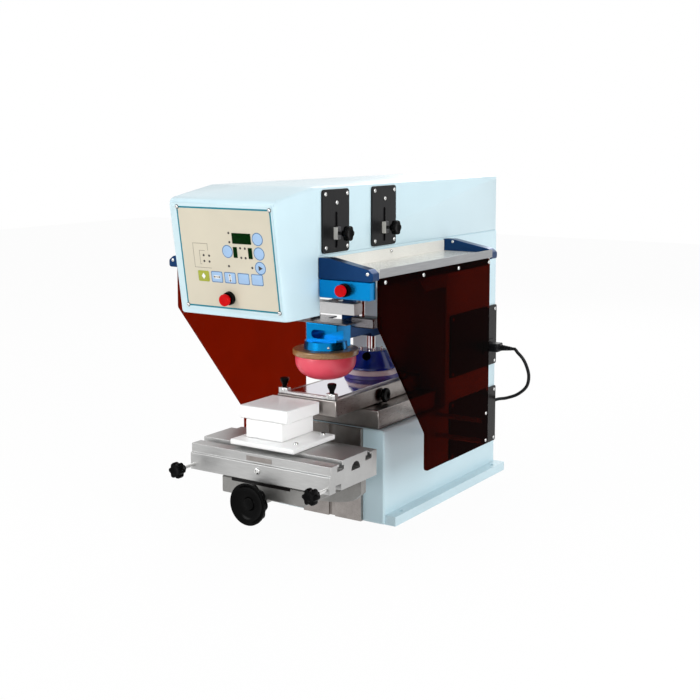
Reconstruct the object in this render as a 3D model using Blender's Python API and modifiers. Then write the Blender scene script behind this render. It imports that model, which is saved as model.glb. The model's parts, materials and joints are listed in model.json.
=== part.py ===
"""Bench pad printing machine with a sealed ink cup, a T-slot table on a knee and smoked side covers.

Lengths are in metres. +Z is up, the operator stands on the -Y side and +X is the operator's right.
While the pieces are made, x = 0 is the mid-plane of the machine, y = 0 is the front face of its
column and z = 0 is the bench. Last, the whole machine is moved so that the origin lies under its middle.
"""

import math

import bmesh
import bpy
from mathutils import Vector

# Clearances shared by all pieces
SEAT_GAP = 0.0003
RUN_GAP = 0.0004
OVERRUN = 0.004
WELD_REACH = 0.001
WELD_SKIN = 0.0005

# Facets of round pieces, and points in a rounded corner
FINE_SIDES = 40
ROUND_SIDES = 24
SMALL_SIDES = 16
STUD_SIDES = 8
CORNER_STEPS = 3
ROUND_END_SHARE = 0.98
ARC_STEPS = 8

# Frame: column, rear tower and foot plate
FRAME_WIDTH = 0.2232
BASE_LENGTH = 0.460
BASE_HEIGHT = 0.1794
TOWER_LENGTH = 0.224
SEAM_HEIGHT = 0.525
FRAME_EDGE = 0.0025
FOOT_SIDE_REACH = 0.0229
FOOT_LENGTH = 0.4604
FOOT_SETBACK = 0.004
FOOT_THICKNESS = 0.018
FOOT_HOLE_DIAMETER = 0.009
FOOT_HOLE_INSET = 0.039
POST_RADIUS = 0.005
POST_BACK_INSET = 0.013
POST_LOW_HEIGHT = 0.131
POST_PITCH = 0.041

# Arm: two side walls with a web at each end
ARM_REACH = 0.208
ARM_DEPTH = 0.068
ARM_WALL = 0.0076
ARM_WEB = 0.014
GUSSET_LENGTH = 0.086
GUSSET_DEPTH = 0.032

# Guide rods and stroke cylinder in the arm
RAIL_HEIGHT = 0.490
RAIL_SIDE_INSET = 0.0266
RAIL_RADIUS = 0.008
STROKE_CYLINDER_RADIUS = 0.016
STROKE_CYLINDER_GAP = 0.0194
STROKE_ROD_RADIUS = 0.006
STROKE_ROD_ENGAGEMENT = 0.019
CARRIAGE_TRAVEL = 0.125

# Hood: folded sheet over the arm and the tower, with the control head in front
HOOD_TOP = 0.640
HOOD_SHEET = 0.002
HOOD_REVEAL = 0.0008
HOOD_EDGE = 0.005
BROW_BEND = 0.012
CROWN_BEND = 0.040
HEAD_BOTTOM = 0.423
HEAD_CHIN_REACH = 0.3055
HEAD_BROW_REACH = 0.3368
HEAD_BROW_HEIGHT = 0.6213
CROWN_REACH = 0.2254

# Control panel and push buttons
PANEL_SIDE_MARGIN = 0.0058
PANEL_LENGTH = 0.184
PANEL_LOW_MARGIN = 0.0095
PANEL_THICKNESS = 0.0016
PANEL_CORNER = 0.004
PANEL_BUTTON_RISE = 0.0345
PANEL_BUTTON_SIDE = 0.0015
COLLAR_RADIUS = 0.0112
COLLAR_HEIGHT = 0.007
CAP_RADIUS = 0.010
CAP_HEIGHT = 0.007
CAP_STEM_RADIUS = 0.006
CAP_EDGE = 0.0015
BUTTON_TRAVEL = 0.004

# Electrical panels on the right of the tower
SIDE_PANEL_THICKNESS = 0.003
SIDE_PANEL_LENGTH = 0.208
SIDE_PANEL_BACK_INSET = 0.002
SIDE_PANEL_CORNER = 0.004
POWER_PANEL_BOTTOM = 0.236
POWER_PANEL_HEIGHT = 0.128
LOWER_PANEL_BOTTOM = 0.066
LOWER_PANEL_HEIGHT = 0.121
INLET_BACK_INSET = 0.043
INLET_HEIGHT = 0.278
INLET_WIDTH = 0.048
INLET_TALL = 0.028
INLET_FLANGE = 0.003

# Tool trays, their brackets and the smoked covers that hang from them
TRAY_REACH = 0.1077
TRAY_FRONT = 0.192
TRAY_TOWER_GAP = 0.014
TRAY_SHEET = 0.002
TRAY_FLOOR = 0.499
TRAY_WALL_TOP = 0.520
TRAY_LIP_TOP = 0.506
TRAY_LIP_BOTTOM = 0.491
TRAY_FLANGE_DROP = 0.021
BRACKET_THICKNESS = 0.021
BRACKET_BOTTOM = 0.487
BRACKET_TOP = 0.522
BRACKET_NOSE = 0.013
BRACKET_SHOULDER = 0.020
BRACKET_CHAMFER = 0.009
BRACKET_TIP_RISE = 0.020
BRACKET_CORNER = 0.004
BUTTON_BOX_WIDTH = 0.1015
BUTTON_BOX_HEIGHT = 0.032
BUTTON_BOX_DEPTH = 0.0205
BUTTON_BOX_EDGE = 0.002
HEAD_BUTTON_REACH = 0.0536
COVER_THICKNESS = 0.005
COVER_BOTTOM = 0.1272
COVER_BACK = 0.213
COVER_NOSE_HEIGHT = 0.4098
COVER_KNEE_HEIGHT = 0.1963
COVER_KNEE_REACH = 0.0323
COVER_LEFT_KNEE_DROP = 0.0178
COVER_LEFT_KNEE_SETBACK = 0.0341
COVER_CORNER = 0.007

# Stroke stops on the right of the hood
STOP_PLATE_THICKNESS = 0.0032
STOP_PLATE_LENGTH = 0.082
STOP_PLATE_HEIGHT = 0.108
STOP_PLATE_BOTTOM = 0.527
STOP_PLATE_CORNER = 0.006
STOP_PLATE_FRONT_PLACES = (-0.204, -0.047)
STOP_SLOT_WIDTH = 0.008
STOP_SLOT_LENGTH = 0.062
STOP_SLOT_SHARE = 0.5
STOP_SLOT_CENTRE_RISE = 0.0385
STOP_TAB_LENGTH = 0.016
STOP_TAB_HEIGHT = 0.022
STOP_TAB_THICKNESS = 0.005
STOP_TAB_EDGE = 0.0012
STOP_SHANK_RADIUS = 0.0032
STOP_SHANK_LENGTH = 0.009
STOP_REST_RISE = 0.033
STOP_KNOB_RADIUS = 0.014
STOP_KNOB_LENGTH = 0.0147
STOP_KNOB_LOBES = 6

# Vertical ways on the column and the knee that slides on them
WAY_WIDTH = 0.132
WAY_DEPTH = 0.008
WAY_GROOVE_WIDTH = 0.014
WAY_GROOVE_DEPTH = 0.005
WAY_BOTTOM = 0.001
KNEE_TOP = 0.1197
KNEE_WEB_WIDTH = 0.250
KNEE_WEB_FRONT = 0.100
KNEE_WEB_THICKNESS = 0.016
KNEE_WEB_BOTTOM = 0.061
KNEE_ARCH_RISE = 0.026
KNEE_HUB_WIDTH = 0.116
KNEE_TONGUE_CLEARANCE = 0.0005
KNEE_BLOCK_WIDTH = 0.180
KNEE_BLOCK_REACH = 0.228
KNEE_BLOCK_HEIGHT = 0.030
KNEE_EDGE = 0.002
KNEE_BOSS_RADIUS = 0.011
KNEE_BOSS_LENGTH = 0.040
SADDLE_WIDTH = 0.176
SADDLE_LENGTH = 0.122
SADDLE_HEIGHT = 0.0047
WHEEL_RADIUS = 0.0373
WHEEL_THICKNESS = 0.022
WHEEL_STANDOFF = 0.0215
WHEEL_HEIGHT = 0.0915
WHEEL_SHAFT_RADIUS = 0.007

# T-slot table
TABLE_LENGTH = 0.304
TABLE_BACK = 0.091
TABLE_DEPTH = 0.149
TABLE_APRON_STEP = 0.0037
TABLE_APRON_HEIGHT = 0.030
TABLE_HEIGHT = 0.052
TABLE_LAND_DROP = 0.005
TABLE_CROWN_WIDTH = 0.080
TABLE_CROWN_BACK = 0.031
SLOT_NECK = 0.009
SLOT_FOOT_WIDTH = 0.021
SLOT_FOOT_HEIGHT = 0.008
SLOT_NECK_DEPTH = 0.009
TABLE_BORE_WIDTH = 0.028
TABLE_BORE_RISE = 0.027
TABLE_BORE_BACK = 0.068
TABLE_NOTCH_WIDTH = 0.017
TABLE_NOTCH_HEIGHT = 0.012
TABLE_NOTCH_FRONT = 0.018
TABLE_KNOB_SPACING = 0.290
TABLE_KNOB_RISE = 0.0085
TABLE_KNOB_RADIUS = 0.0155
TABLE_KNOB_LENGTH = 0.025
TABLE_KNOB_LOBES = 6
TABLE_KNOB_STEM = 0.028
TABLE_KNOB_STEM_RADIUS = 0.0035

# Printing jig on the table
JIG_PLATE_WIDTH = 0.140
JIG_PLATE_DEPTH = 0.130
JIG_PLATE_THICKNESS = 0.0097
JIG_OFFSET = 0.006
JIG_PLATE_BACK = 0.0915
JIG_BLOCK_WIDTH = 0.080
JIG_BLOCK_DEPTH = 0.098
JIG_BLOCK_HEIGHT = 0.0337
JIG_BLOCK_OFFSET = 0.0195
JIG_BLOCK_BACK = 0.098
JIG_TOP_HEIGHT = 0.0237
JIG_TOP_LIP = 0.0013
JIG_TOP_SIDE_LIP = 0.013
JIG_EDGE = 0.0015

# Cliche bed on the column
BED_BASE_WIDTH = 0.196
BED_BASE_FRONT = 0.003
BED_BASE_TOWER_GAP = 0.018
BED_BASE_HEIGHT = 0.0363
BED_WIDTH = 0.132
BED_OVERHANG = 0.092
BED_TOWER_GAP = 0.023
BED_HEIGHT = 0.0317
BED_EDGE = 0.0015
CLICHE_WIDTH = 0.104
CLICHE_FRONT_INSET = 0.018
CLICHE_BACK_INSET = 0.007
CLICHE_THICKNESS = 0.0017
CLAMP_BLOCK_LENGTH = 0.0205
CLAMP_BLOCK_DEPTH = 0.012
CLAMP_BLOCK_HEIGHT = 0.0115
CLAMP_SPACING = 0.106
CLAMP_BAR_HEIGHT = 0.005
CLAMP_EDGE = 0.001
THUMB_SCREW_FOOT_RADIUS = 0.0045
THUMB_SCREW_HEAD_RADIUS = 0.0085
THUMB_SCREW_HEIGHT = 0.018
BED_KNOB_PLACE = 0.0675
BED_KNOB_DROP = 0.0168
BED_KNOB_RADIUS = 0.0142
BED_KNOB_LENGTH = 0.011
BED_KNOB_LOBES = 8

# Sealed ink cup on its post
CUP_BACK = 0.134
CUP_RING_RADIUS = 0.0547
CUP_RING_HEIGHT = 0.0167
CUP_RING_WALL = 0.007
CUP_RING_BAND = 0.004
CUP_NECK_RADIUS = 0.047
CUP_DOME_RADIUS = 0.030
CUP_DOME_HEIGHT = 0.036
CUP_DOME_WALL = 0.004
CUP_POST_RADIUS = 0.0095
CUP_POST_HEIGHT = 0.028
CUP_STUD_RADIUS = 0.0035
CUP_STUD_HEIGHT = 0.0055
CUP_STUD_CIRCLE = 0.020
CUP_STUD_COUNT = 4
CUP_PLUG_RADIUS = 0.009
CUP_PLUG_LENGTH = 0.010

# Arm that carries the cup from the carriage
CUP_ARM_WIDTH = 0.026
CUP_ARM_ROOT_RISE = 0.008
CUP_ARM_ROOT_DEPTH = 0.029
CUP_ARM_TIP_DEPTH = 0.018
CUP_ARM_TIP_REACH = 0.016
CUP_HANGER_PLACE = 0.046
CUP_HANGER_THICKNESS = 0.013

# Press group: plate on two upright rods, pad holder, backing and pad
PRESS_PLATE_CLEARANCE = 0.0092
PRESS_PLATE_ROD_INSET = 0.002
PRESS_PLATE_FRONT = 0.044
PRESS_PLATE_LENGTH = 0.080
PRESS_NOTCH_WIDTH = 0.034
PRESS_NOTCH_DEPTH = 0.030
PRESS_PLATE_THICKNESS = 0.003
PRESS_WING_OUTSIDE = 0.036
PRESS_WING_INSIDE = 0.013
PRESS_WING_FRONT = 0.010
PRESS_WING_LENGTH = 0.032
PRESS_WING_DROP = 0.0075
PRESS_WING_RISE = 0.009
PRESS_WING_EDGE = 0.0015
PRESS_ROD_RAIL_PITCH = 0.027
PRESS_ROD_RADIUS = 0.0065
PRESS_ROD_PLACE = 0.006
PRESS_ROD_TOP_REACH = 0.050
PRESS_YOKE_END = 0.011
PRESS_YOKE_LENGTH = 0.026
PRESS_YOKE_FRONT = 0.036
PRESS_YOKE_HEIGHT = 0.037
PRESS_YOKE_STEP = 0.0155
PRESS_YOKE_INSET = 0.004
PRESS_EAR_WIDTH = 0.012
PISTON_ROD_RADIUS = 0.006
PISTON_ROD_TOP_REACH = 0.060
HOLDER_WING_GAP = 0.010
HOLDER_LENGTH = 0.048
HOLDER_HEIGHT = 0.0473
HOLDER_SETBACK = 0.001
HOLDER_FLANGE_RADIUS = 0.0415
HOLDER_FLANGE_HEIGHT = 0.0145
HOLDER_SLOT_END_WALL = 0.0125
HOLDER_SLOT_HEIGHT = 0.0165
HOLDER_SLOT_DEPTH = 0.022
HOLDER_SLOT_RISE = 0.0265
HOLDER_EDGE = 0.002
PAD_PLACE = 0.028
BACKING_RADIUS = 0.062
BACKING_THICKNESS = 0.012
BACKING_EDGE = 0.003
PAD_RADIUS = 0.057
PAD_HEIGHT = 0.0462
PAD_RIM_HEIGHT = 0.010
PAD_FULLNESS_SHARE = 0.78
PAD_STEPS = 9

# Carriage on the guide rods
CARRIAGE_SIDE_CLEARANCE = 0.004
CARRIAGE_LENGTH = 0.088
CARRIAGE_HEIGHT = 0.040
CARRIAGE_FRONT = 0.036
CARRIAGE_EDGE = 0.002
PRESS_CYLINDER_RADIUS = 0.025
PRESS_CYLINDER_HEIGHT = 0.090
PRESS_CYLINDER_CAP = 0.010
PRESS_CYLINDER_STEP = 0.0025

# Power cord: inlet plug, lead, stored coil and wall plug
CORD_DIAMETER = 0.007
CORD_SPACING = 0.0076
PLUG_LENGTH = 0.026
PLUG_WIDTH = 0.027
PLUG_HEIGHT = 0.018
PLUG_EDGE = 0.002
RELIEF_LENGTH = 0.027
RELIEF_ROOT_RADIUS = 0.0065
RELIEF_RIBS = 5
RELIEF_RIB_DEPTH = 0.0009
COIL_OUTER_RADIUS = 0.0511
COIL_TURNS = 5.0
COIL_CENTRE = (-0.040, 0.5351)
COIL_POINTS_PER_TURN = 24
COIL_TAIL = 0.046
TAIL_STEPS = 4
WALL_PLUG_LENGTH = 0.040
WALL_PLUG_RADIUS = 0.012
WALL_PLUG_NECK_RADIUS = 0.006
WALL_PLUG_NECK_LENGTH = 0.008
WALL_PLUG_TAPER_TOP = 0.020
PIN_LENGTH = 0.018
PIN_WIDTH = 0.0015
PIN_HEIGHT = 0.0062
PIN_SPACING = 0.0127
LEAD_ROUTE = (
    (0.1850, 0.4172, 0.2708),
    (0.1950, 0.4195, 0.2600),
    (0.2020, 0.4240, 0.2440),
    (0.2048, 0.4310, 0.2210),
    (0.1960, 0.4400, 0.1960),
    (0.1700, 0.4530, 0.1740),
    (0.1370, 0.4680, 0.1590),
    (0.1030, 0.4800, 0.1480),
    (0.0740, 0.4900, 0.1250),
    (0.0580, 0.4960, 0.0880),
    (0.0500, 0.4970, 0.0500),
    (0.0360, 0.4930, 0.0180),
    (0.0140, 0.4870, 0.0055),
    (-0.0120, 0.4850, 0.0040),
)
LEAD_STEP = 0.015

# Heights and places that follow from the sizes above
TOWER_FRONT = BASE_LENGTH - TOWER_LENGTH
TRAY_BACK = TOWER_FRONT - TRAY_TOWER_GAP
BODY_TOP = SEAM_HEIGHT - SEAT_GAP
SIDE_FACE = FRAME_WIDTH / 2
FOOT_WIDTH = FRAME_WIDTH + 2 * FOOT_SIDE_REACH
RAIL_SPACING = FRAME_WIDTH - 2 * RAIL_SIDE_INSET
PRESS_ROD_SPACING = RAIL_SPACING - 2 * PRESS_ROD_RAIL_PITCH
PRESS_PLATE_WIDTH = PRESS_ROD_SPACING - 2 * PRESS_PLATE_ROD_INSET
PRESS_WING_REACH = PRESS_ROD_SPACING / 2 + PRESS_WING_OUTSIDE
PRESS_WING_INNER = PRESS_ROD_SPACING / 2 - PRESS_WING_INSIDE
PRESS_YOKE_WIDTH = PRESS_ROD_SPACING + 2 * PRESS_YOKE_END
HOLDER_WIDTH = 2 * (PRESS_WING_INNER - HOLDER_WING_GAP)
HOLDER_SLOT_START = HOLDER_WIDTH / 2 - HOLDER_SLOT_END_WALL
PANEL_WIDTH = FRAME_WIDTH - 2 * PANEL_SIDE_MARGIN
CARRIAGE_WIDTH = FRAME_WIDTH - 2 * (ARM_WALL + CARRIAGE_SIDE_CLEARANCE)
BED_BASE_LENGTH = TOWER_FRONT - BED_BASE_FRONT - BED_BASE_TOWER_GAP
BED_LENGTH = TOWER_FRONT + BED_OVERHANG - BED_TOWER_GAP
CLICHE_LENGTH = BED_LENGTH - CLICHE_FRONT_INSET - CLICHE_BACK_INSET
WHEEL_FRONT_REACH = KNEE_BLOCK_REACH + WHEEL_STANDOFF + WHEEL_THICKNESS
HOOD_FACE = SIDE_FACE - HOOD_REVEAL
ARM_FRONT = -ARM_REACH + SEAT_GAP
ARM_BACK = TOWER_FRONT - SEAT_GAP
STROKE_CYLINDER_FRONT = CARRIAGE_LENGTH - CARRIAGE_FRONT + STROKE_CYLINDER_GAP
STROKE_CYLINDER_LENGTH = ARM_BACK - ARM_WEB - SEAT_GAP - STROKE_CYLINDER_FRONT
BED_BASE_TOP = BASE_HEIGHT + SEAT_GAP + BED_BASE_HEIGHT
BED_TOP = BED_BASE_TOP + SEAT_GAP + BED_HEIGHT
CLICHE_TOP = BED_TOP + SEAT_GAP + CLICHE_THICKNESS
CUP_RING_TOP = CLICHE_TOP + SEAT_GAP + CUP_RING_HEIGHT
CUP_TOP = CUP_RING_TOP + SEAT_GAP + CUP_DOME_HEIGHT
CUP_ARM_BOTTOM = CUP_TOP + SEAT_GAP + CUP_POST_HEIGHT + SEAT_GAP
CUP_ARM_ROOT_TOP = CUP_ARM_BOTTOM + CUP_ARM_ROOT_RISE + CUP_ARM_ROOT_DEPTH
PRESS_PLATE_BOTTOM = CUP_ARM_ROOT_TOP + PRESS_PLATE_CLEARANCE
PRESS_PLATE_TOP = PRESS_PLATE_BOTTOM + PRESS_PLATE_THICKNESS
PRESS_WING_TOP = PRESS_PLATE_TOP + PRESS_WING_RISE
HOLDER_BOTTOM = PRESS_PLATE_BOTTOM - SEAT_GAP - HOLDER_HEIGHT
BACKING_BOTTOM = HOLDER_BOTTOM - SEAT_GAP - BACKING_THICKNESS
PAD_TOP = BACKING_BOTTOM - SEAT_GAP
CARRIAGE_BOTTOM = RAIL_HEIGHT - CARRIAGE_HEIGHT / 2
CARRIAGE_TOP = RAIL_HEIGHT + CARRIAGE_HEIGHT / 2
TABLE_BOTTOM = KNEE_TOP + SEAT_GAP + SADDLE_HEIGHT + SEAT_GAP
TABLE_TOP = TABLE_BOTTOM + TABLE_HEIGHT
TABLE_FRONT = TABLE_BACK + TABLE_DEPTH
JIG_PLATE_TOP = TABLE_TOP + SEAT_GAP + JIG_PLATE_THICKNESS
JIG_BLOCK_TOP = JIG_PLATE_TOP + SEAT_GAP + JIG_BLOCK_HEIGHT
WAY_FACE = -SEAT_GAP - WAY_DEPTH
TRAY_FACE = SIDE_FACE + TRAY_REACH
COVER_FACE = TRAY_FACE
FRAME_BACK = FOOT_SETBACK + FOOT_LENGTH

# Collections and shared tools

PARTS = bpy.data.collections.new("pad_printing_machine")
CUTTERS = bpy.data.collections.new("cutters")


def clear_scene():
    for obj in list(bpy.data.objects):
        bpy.data.objects.remove(obj, do_unlink=True)
    bpy.context.scene.collection.children.link(PARTS)
    bpy.context.scene.collection.children.link(CUTTERS)


def paint(name, colour, roughness, metallic=0.0):
    """One material with the colour, gloss and metal value of a finish."""
    material = bpy.data.materials.new(name)
    material.use_nodes = True
    shader = material.node_tree.nodes["Principled BSDF"]
    shader.inputs["Base Color"].default_value = (*colour, 1.0)
    shader.inputs["Roughness"].default_value = roughness
    shader.inputs["Metallic"].default_value = metallic
    material.diffuse_color = (*colour, 1.0)
    return material


def place_of(carrier):
    above = place_of(carrier.parent) if carrier.parent else Vector()
    return above + carrier.location


def carrier(name, parent, place=(0, 0, 0)):
    """An empty that a moving group hangs from, on the axis of its joint."""
    empty = bpy.data.objects.new(name, None)
    PARTS.objects.link(empty)
    empty.empty_display_size = WHEEL_RADIUS
    empty.parent = parent
    empty.location = Vector(place) - (place_of(parent) if parent else Vector())
    return empty


def add(name, mesh, material, parent, collection=PARTS):
    """Puts a mesh or curve in the scene, hung from its carrier without moving it."""
    obj = bpy.data.objects.new(name, mesh)
    collection.objects.link(obj)
    obj.data.materials.append(material)
    obj.parent = parent
    obj.matrix_parent_inverse.translation = -place_of(parent)
    return obj


def shade(mesh, angle=math.radians(35)):
    mesh.shade_smooth()
    mesh.set_sharp_from_angle(angle=angle)


def box(name, low, high, material, parent):
    """A block between two corners."""
    shape = bmesh.new()
    bmesh.ops.create_cube(shape, size=1.0)
    low, high = Vector(low), Vector(high)
    bmesh.ops.scale(shape, vec=high - low, verts=shape.verts)
    mesh = bpy.data.meshes.new(name)
    shape.to_mesh(mesh)
    shape.free()
    obj = add(name, mesh, material, parent)
    obj.location = (low + high) / 2
    return obj


AXIS_TURNS = {
    "+Z": (0, 0, 0),
    "-Z": (math.pi, 0, 0),
    "+X": (0, math.pi / 2, 0),
    "-X": (0, -math.pi / 2, 0),
    "+Y": (-math.pi / 2, 0, 0),
    "-Y": (math.pi / 2, 0, 0),
}


def rod(name, start, axis, length, radius, material, parent, sides=ROUND_SIDES, end_radius=None):
    """A round bar, or a cone, from its start along one of the axes."""
    shape = bmesh.new()
    tip = radius if end_radius is None else end_radius
    bmesh.ops.create_cone(
        shape, cap_ends=True, segments=sides, radius1=radius, radius2=tip, depth=length
    )
    bmesh.ops.translate(shape, vec=(0, 0, length / 2), verts=shape.verts)
    mesh = bpy.data.meshes.new(name)
    shape.to_mesh(mesh)
    shape.free()
    shade(mesh)
    obj = add(name, mesh, material, parent)
    obj.location = start
    obj.rotation_euler = AXIS_TURNS[axis]
    return obj


def turned(name, profile, place, axis, material, parent, sides=ROUND_SIDES):
    """A turned piece. The profile holds (radius, height) points, from the top down."""
    mesh = bpy.data.meshes.new(name)
    count = len(profile)
    mesh.from_pydata(
        [(radius, 0, height) for radius, height in profile],
        [(point, point + 1) for point in range(count - 1)],
        [],
    )
    obj = add(name, mesh, material, parent)
    obj.location = place
    obj.rotation_euler = AXIS_TURNS[axis]
    screw = obj.modifiers.new("turn", "SCREW")
    screw.steps = screw.render_steps = sides
    screw.use_merge_vertices = True
    screw.merge_threshold = 0.00001
    screw.use_smooth_shade = False
    return obj


def rounded(corners, radius, steps=CORNER_STEPS):
    """The outline through these corners with an arc at each. A corner can bring its own radius."""
    points = []
    for index, corner in enumerate(corners):
        size = corner[2] if len(corner) > 2 else radius
        here = Vector(corner[:2])
        back = (Vector(corners[index - 1][:2]) - here).normalized()
        ahead = (Vector(corners[(index + 1) % len(corners)][:2]) - here).normalized()
        if not size:
            points.append(tuple(here))
            continue
        opening = back.angle(ahead) / 2
        centre = here + (back + ahead).normalized() * size / math.sin(opening)
        first = here + back * size / math.tan(opening) - centre
        last = here + ahead * size / math.tan(opening) - centre
        begin = math.atan2(first.y, first.x)
        sweep = math.atan2(first.x * last.y - first.y * last.x, first.dot(last))
        for step in range(steps + 1):
            angle = begin + sweep * step / steps
            points.append((centre.x + size * math.cos(angle), centre.y + size * math.sin(angle)))
    return points


PLANE_TURNS = {
    "YZ": (math.pi / 2, 0, math.pi / 2),
    "XZ": (math.pi / 2, 0, 0),
    "XY": (0, 0, 0),
}
PLANE_DEPTHS = {"YZ": "x", "XZ": "y", "XY": "z"}


def plate(name, outline, plane, low, high, material, parent, holes=()):
    """A flat outline, with its holes, made solid between two places along the third axis."""
    curve = bpy.data.curves.new(name, "CURVE")
    curve.dimensions = "2D"
    curve.fill_mode = "BOTH"
    curve.extrude = abs(high - low) / 2
    for loop in (outline, *holes):
        spline = curve.splines.new("POLY")
        spline.points.add(len(loop) - 1)
        for point, (across, up) in zip(spline.points, loop):
            point.co = (across, up, 0, 1)
        spline.use_cyclic_u = True
    obj = as_mesh(add(name, curve, material, parent))
    obj.rotation_euler = PLANE_TURNS[plane]
    setattr(obj.location, PLANE_DEPTHS[plane], (low + high) / 2)
    return obj


def as_mesh(source):
    """The same piece as a closed mesh, in place of its curve."""
    bpy.context.view_layer.update()
    graph = bpy.context.evaluated_depsgraph_get()
    mesh = bpy.data.meshes.new_from_object(source.evaluated_get(graph))
    shape = bmesh.new()
    shape.from_mesh(mesh)
    bmesh.ops.remove_doubles(shape, verts=shape.verts, dist=0.00001)
    bmesh.ops.dissolve_limit(
        shape, angle_limit=math.radians(1), verts=shape.verts, edges=shape.edges
    )
    shape.to_mesh(mesh)
    shape.free()
    name, parent = source.name, source.parent
    material = source.data.materials[0]
    bpy.data.objects.remove(source, do_unlink=True)
    mesh.materials.clear()
    return add(name, mesh, material, parent)


def soften(obj, width, segments=2, angle=math.radians(40)):
    """Rounds the sharp edges of a piece."""
    bevel = obj.modifiers.new("edges", "BEVEL")
    bevel.width = width
    bevel.segments = segments
    bevel.limit_method = "ANGLE"
    bevel.angle_limit = angle
    return obj


def soften_chosen(obj, width, chosen, segments=2):
    """Rounds only the edges whose two ends both pass the test, in the mesh's own axes."""
    mesh = obj.data
    weights = mesh.attributes.new("bevel_weight_edge", "FLOAT", "EDGE").data
    for edge, weight in zip(mesh.edges, weights):
        weight.value = float(chosen(*(mesh.vertices[index].co for index in edge.vertices)))
    bevel = soften(obj, width, segments).modifiers["edges"]
    bevel.limit_method = "WEIGHT"
    return obj


def boolean(target, tool, operation):
    tool.hide_render = True
    tool.display_type = "WIRE"
    PARTS.objects.unlink(tool)
    CUTTERS.objects.link(tool)
    change = target.modifiers.new(tool.name, "BOOLEAN")
    change.operation = operation
    change.object = tool
    return target


def cut(target, *tools):
    for tool in tools:
        boolean(target, tool, "DIFFERENCE")
    return target


def fuse(target, *tools):
    for tool in tools:
        boolean(target, tool, "UNION")
    return target


def mirrored(side, outline):
    """The outline for the right side, turned over for the left."""
    return [(side * point[0], *point[1:]) for point in outline]


SIDES = {"left": -1, "right": 1}


# Frame


def main_frame(body, finish):
    """Column and tower in one welding, on a foot plate with four bolt holes."""
    outline = [
        (0, 0),
        (BASE_LENGTH, 0),
        (BASE_LENGTH, BODY_TOP),
        (TOWER_FRONT, BODY_TOP),
        (TOWER_FRONT, BASE_HEIGHT),
        (0, BASE_HEIGHT),
    ]
    frame = plate("main_frame", outline, "YZ", -SIDE_FACE, SIDE_FACE, finish, body)
    soften(frame, FRAME_EDGE, segments=1)
    foot = box(
        "foot_plate",
        (-FOOT_WIDTH / 2, FOOT_SETBACK, 0),
        (FOOT_WIDTH / 2, FRAME_BACK, FOOT_THICKNESS),
        finish,
        body,
    )
    fuse(frame, foot)
    hole_side = (SIDE_FACE + FOOT_WIDTH / 2) / 2
    for side in SIDES.values():
        for place in (FOOT_SETBACK + FOOT_HOLE_INSET, FRAME_BACK - FOOT_HOLE_INSET):
            drill = rod(
                "foot_drill",
                (side * hole_side, place, -OVERRUN),
                "+Z",
                FOOT_THICKNESS + 2 * OVERRUN,
                FOOT_HOLE_DIAMETER / 2,
                finish,
                body,
                SMALL_SIDES,
            )
            cut(frame, drill)
        for step in range(2):
            height = POST_LOW_HEIGHT + step * POST_PITCH
            post = rod(
                "cover_post",
                (side * (SIDE_FACE - WELD_REACH), COVER_BACK - POST_BACK_INSET, height),
                "+X" if side > 0 else "-X",
                COVER_FACE - COVER_THICKNESS - SEAT_GAP - SIDE_FACE + WELD_REACH,
                POST_RADIUS,
                finish,
                body,
                SMALL_SIDES,
            )
            fuse(frame, post)
    return frame


def arm_beam(body, finish):
    """Two deep side walls joined by a web at each end, bored for the guide rods."""
    low = SEAM_HEIGHT - ARM_DEPTH
    outline = rounded(
        [
            (ARM_FRONT, low),
            (TOWER_FRONT - GUSSET_LENGTH - GUSSET_DEPTH, low, GUSSET_DEPTH),
            (TOWER_FRONT - GUSSET_LENGTH, low - GUSSET_DEPTH, GUSSET_DEPTH / 2),
            (ARM_BACK, low - GUSSET_DEPTH),
            (ARM_BACK, BODY_TOP),
            (ARM_FRONT, BODY_TOP),
        ],
        0,
    )
    arm = plate("arm_beam", outline, "YZ", -SIDE_FACE, SIDE_FACE, finish, body)
    inner = SIDE_FACE - ARM_WALL
    window = box(
        "arm_window",
        (-inner, ARM_FRONT + ARM_WEB, low - GUSSET_DEPTH - OVERRUN),
        (inner, ARM_BACK - ARM_WEB, SEAM_HEIGHT + OVERRUN),
        finish,
        body,
    )
    relief = box(
        "arm_relief",
        (-inner, ARM_BACK - ARM_WEB - OVERRUN, low - GUSSET_DEPTH - OVERRUN),
        (inner, ARM_BACK + OVERRUN, low),
        finish,
        body,
    )
    cut(arm, window, relief)
    for side in SIDES.values():
        bore = rod(
            "rail_bore",
            (side * RAIL_SPACING / 2, ARM_FRONT - OVERRUN, RAIL_HEIGHT),
            "+Y",
            ARM_BACK - ARM_FRONT + 2 * OVERRUN,
            RAIL_RADIUS + SEAT_GAP,
            finish,
            body,
        )
        cut(arm, bore)
    return arm


def guide_rods(body, finish):
    for name, side in SIDES.items():
        rod(
            "guide_rod_" + name,
            (side * RAIL_SPACING / 2, ARM_FRONT + SEAT_GAP, RAIL_HEIGHT),
            "+Y",
            ARM_BACK - ARM_FRONT - 2 * SEAT_GAP,
            RAIL_RADIUS,
            finish,
            body,
        )


def stroke_cylinder(body, finish):
    """Air cylinder on the rear web, open at the front where its rod comes out."""
    back = ARM_BACK - ARM_WEB - SEAT_GAP
    tube = rod(
        "stroke_cylinder",
        (0, back, RAIL_HEIGHT),
        "-Y",
        STROKE_CYLINDER_LENGTH,
        STROKE_CYLINDER_RADIUS,
        finish,
        body,
    )
    bore = rod(
        "stroke_bore",
        (0, back - STROKE_CYLINDER_LENGTH - OVERRUN, RAIL_HEIGHT),
        "+Y",
        STROKE_CYLINDER_LENGTH,
        STROKE_ROD_RADIUS + RUN_GAP,
        finish,
        body,
    )
    return cut(tube, bore)


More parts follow.
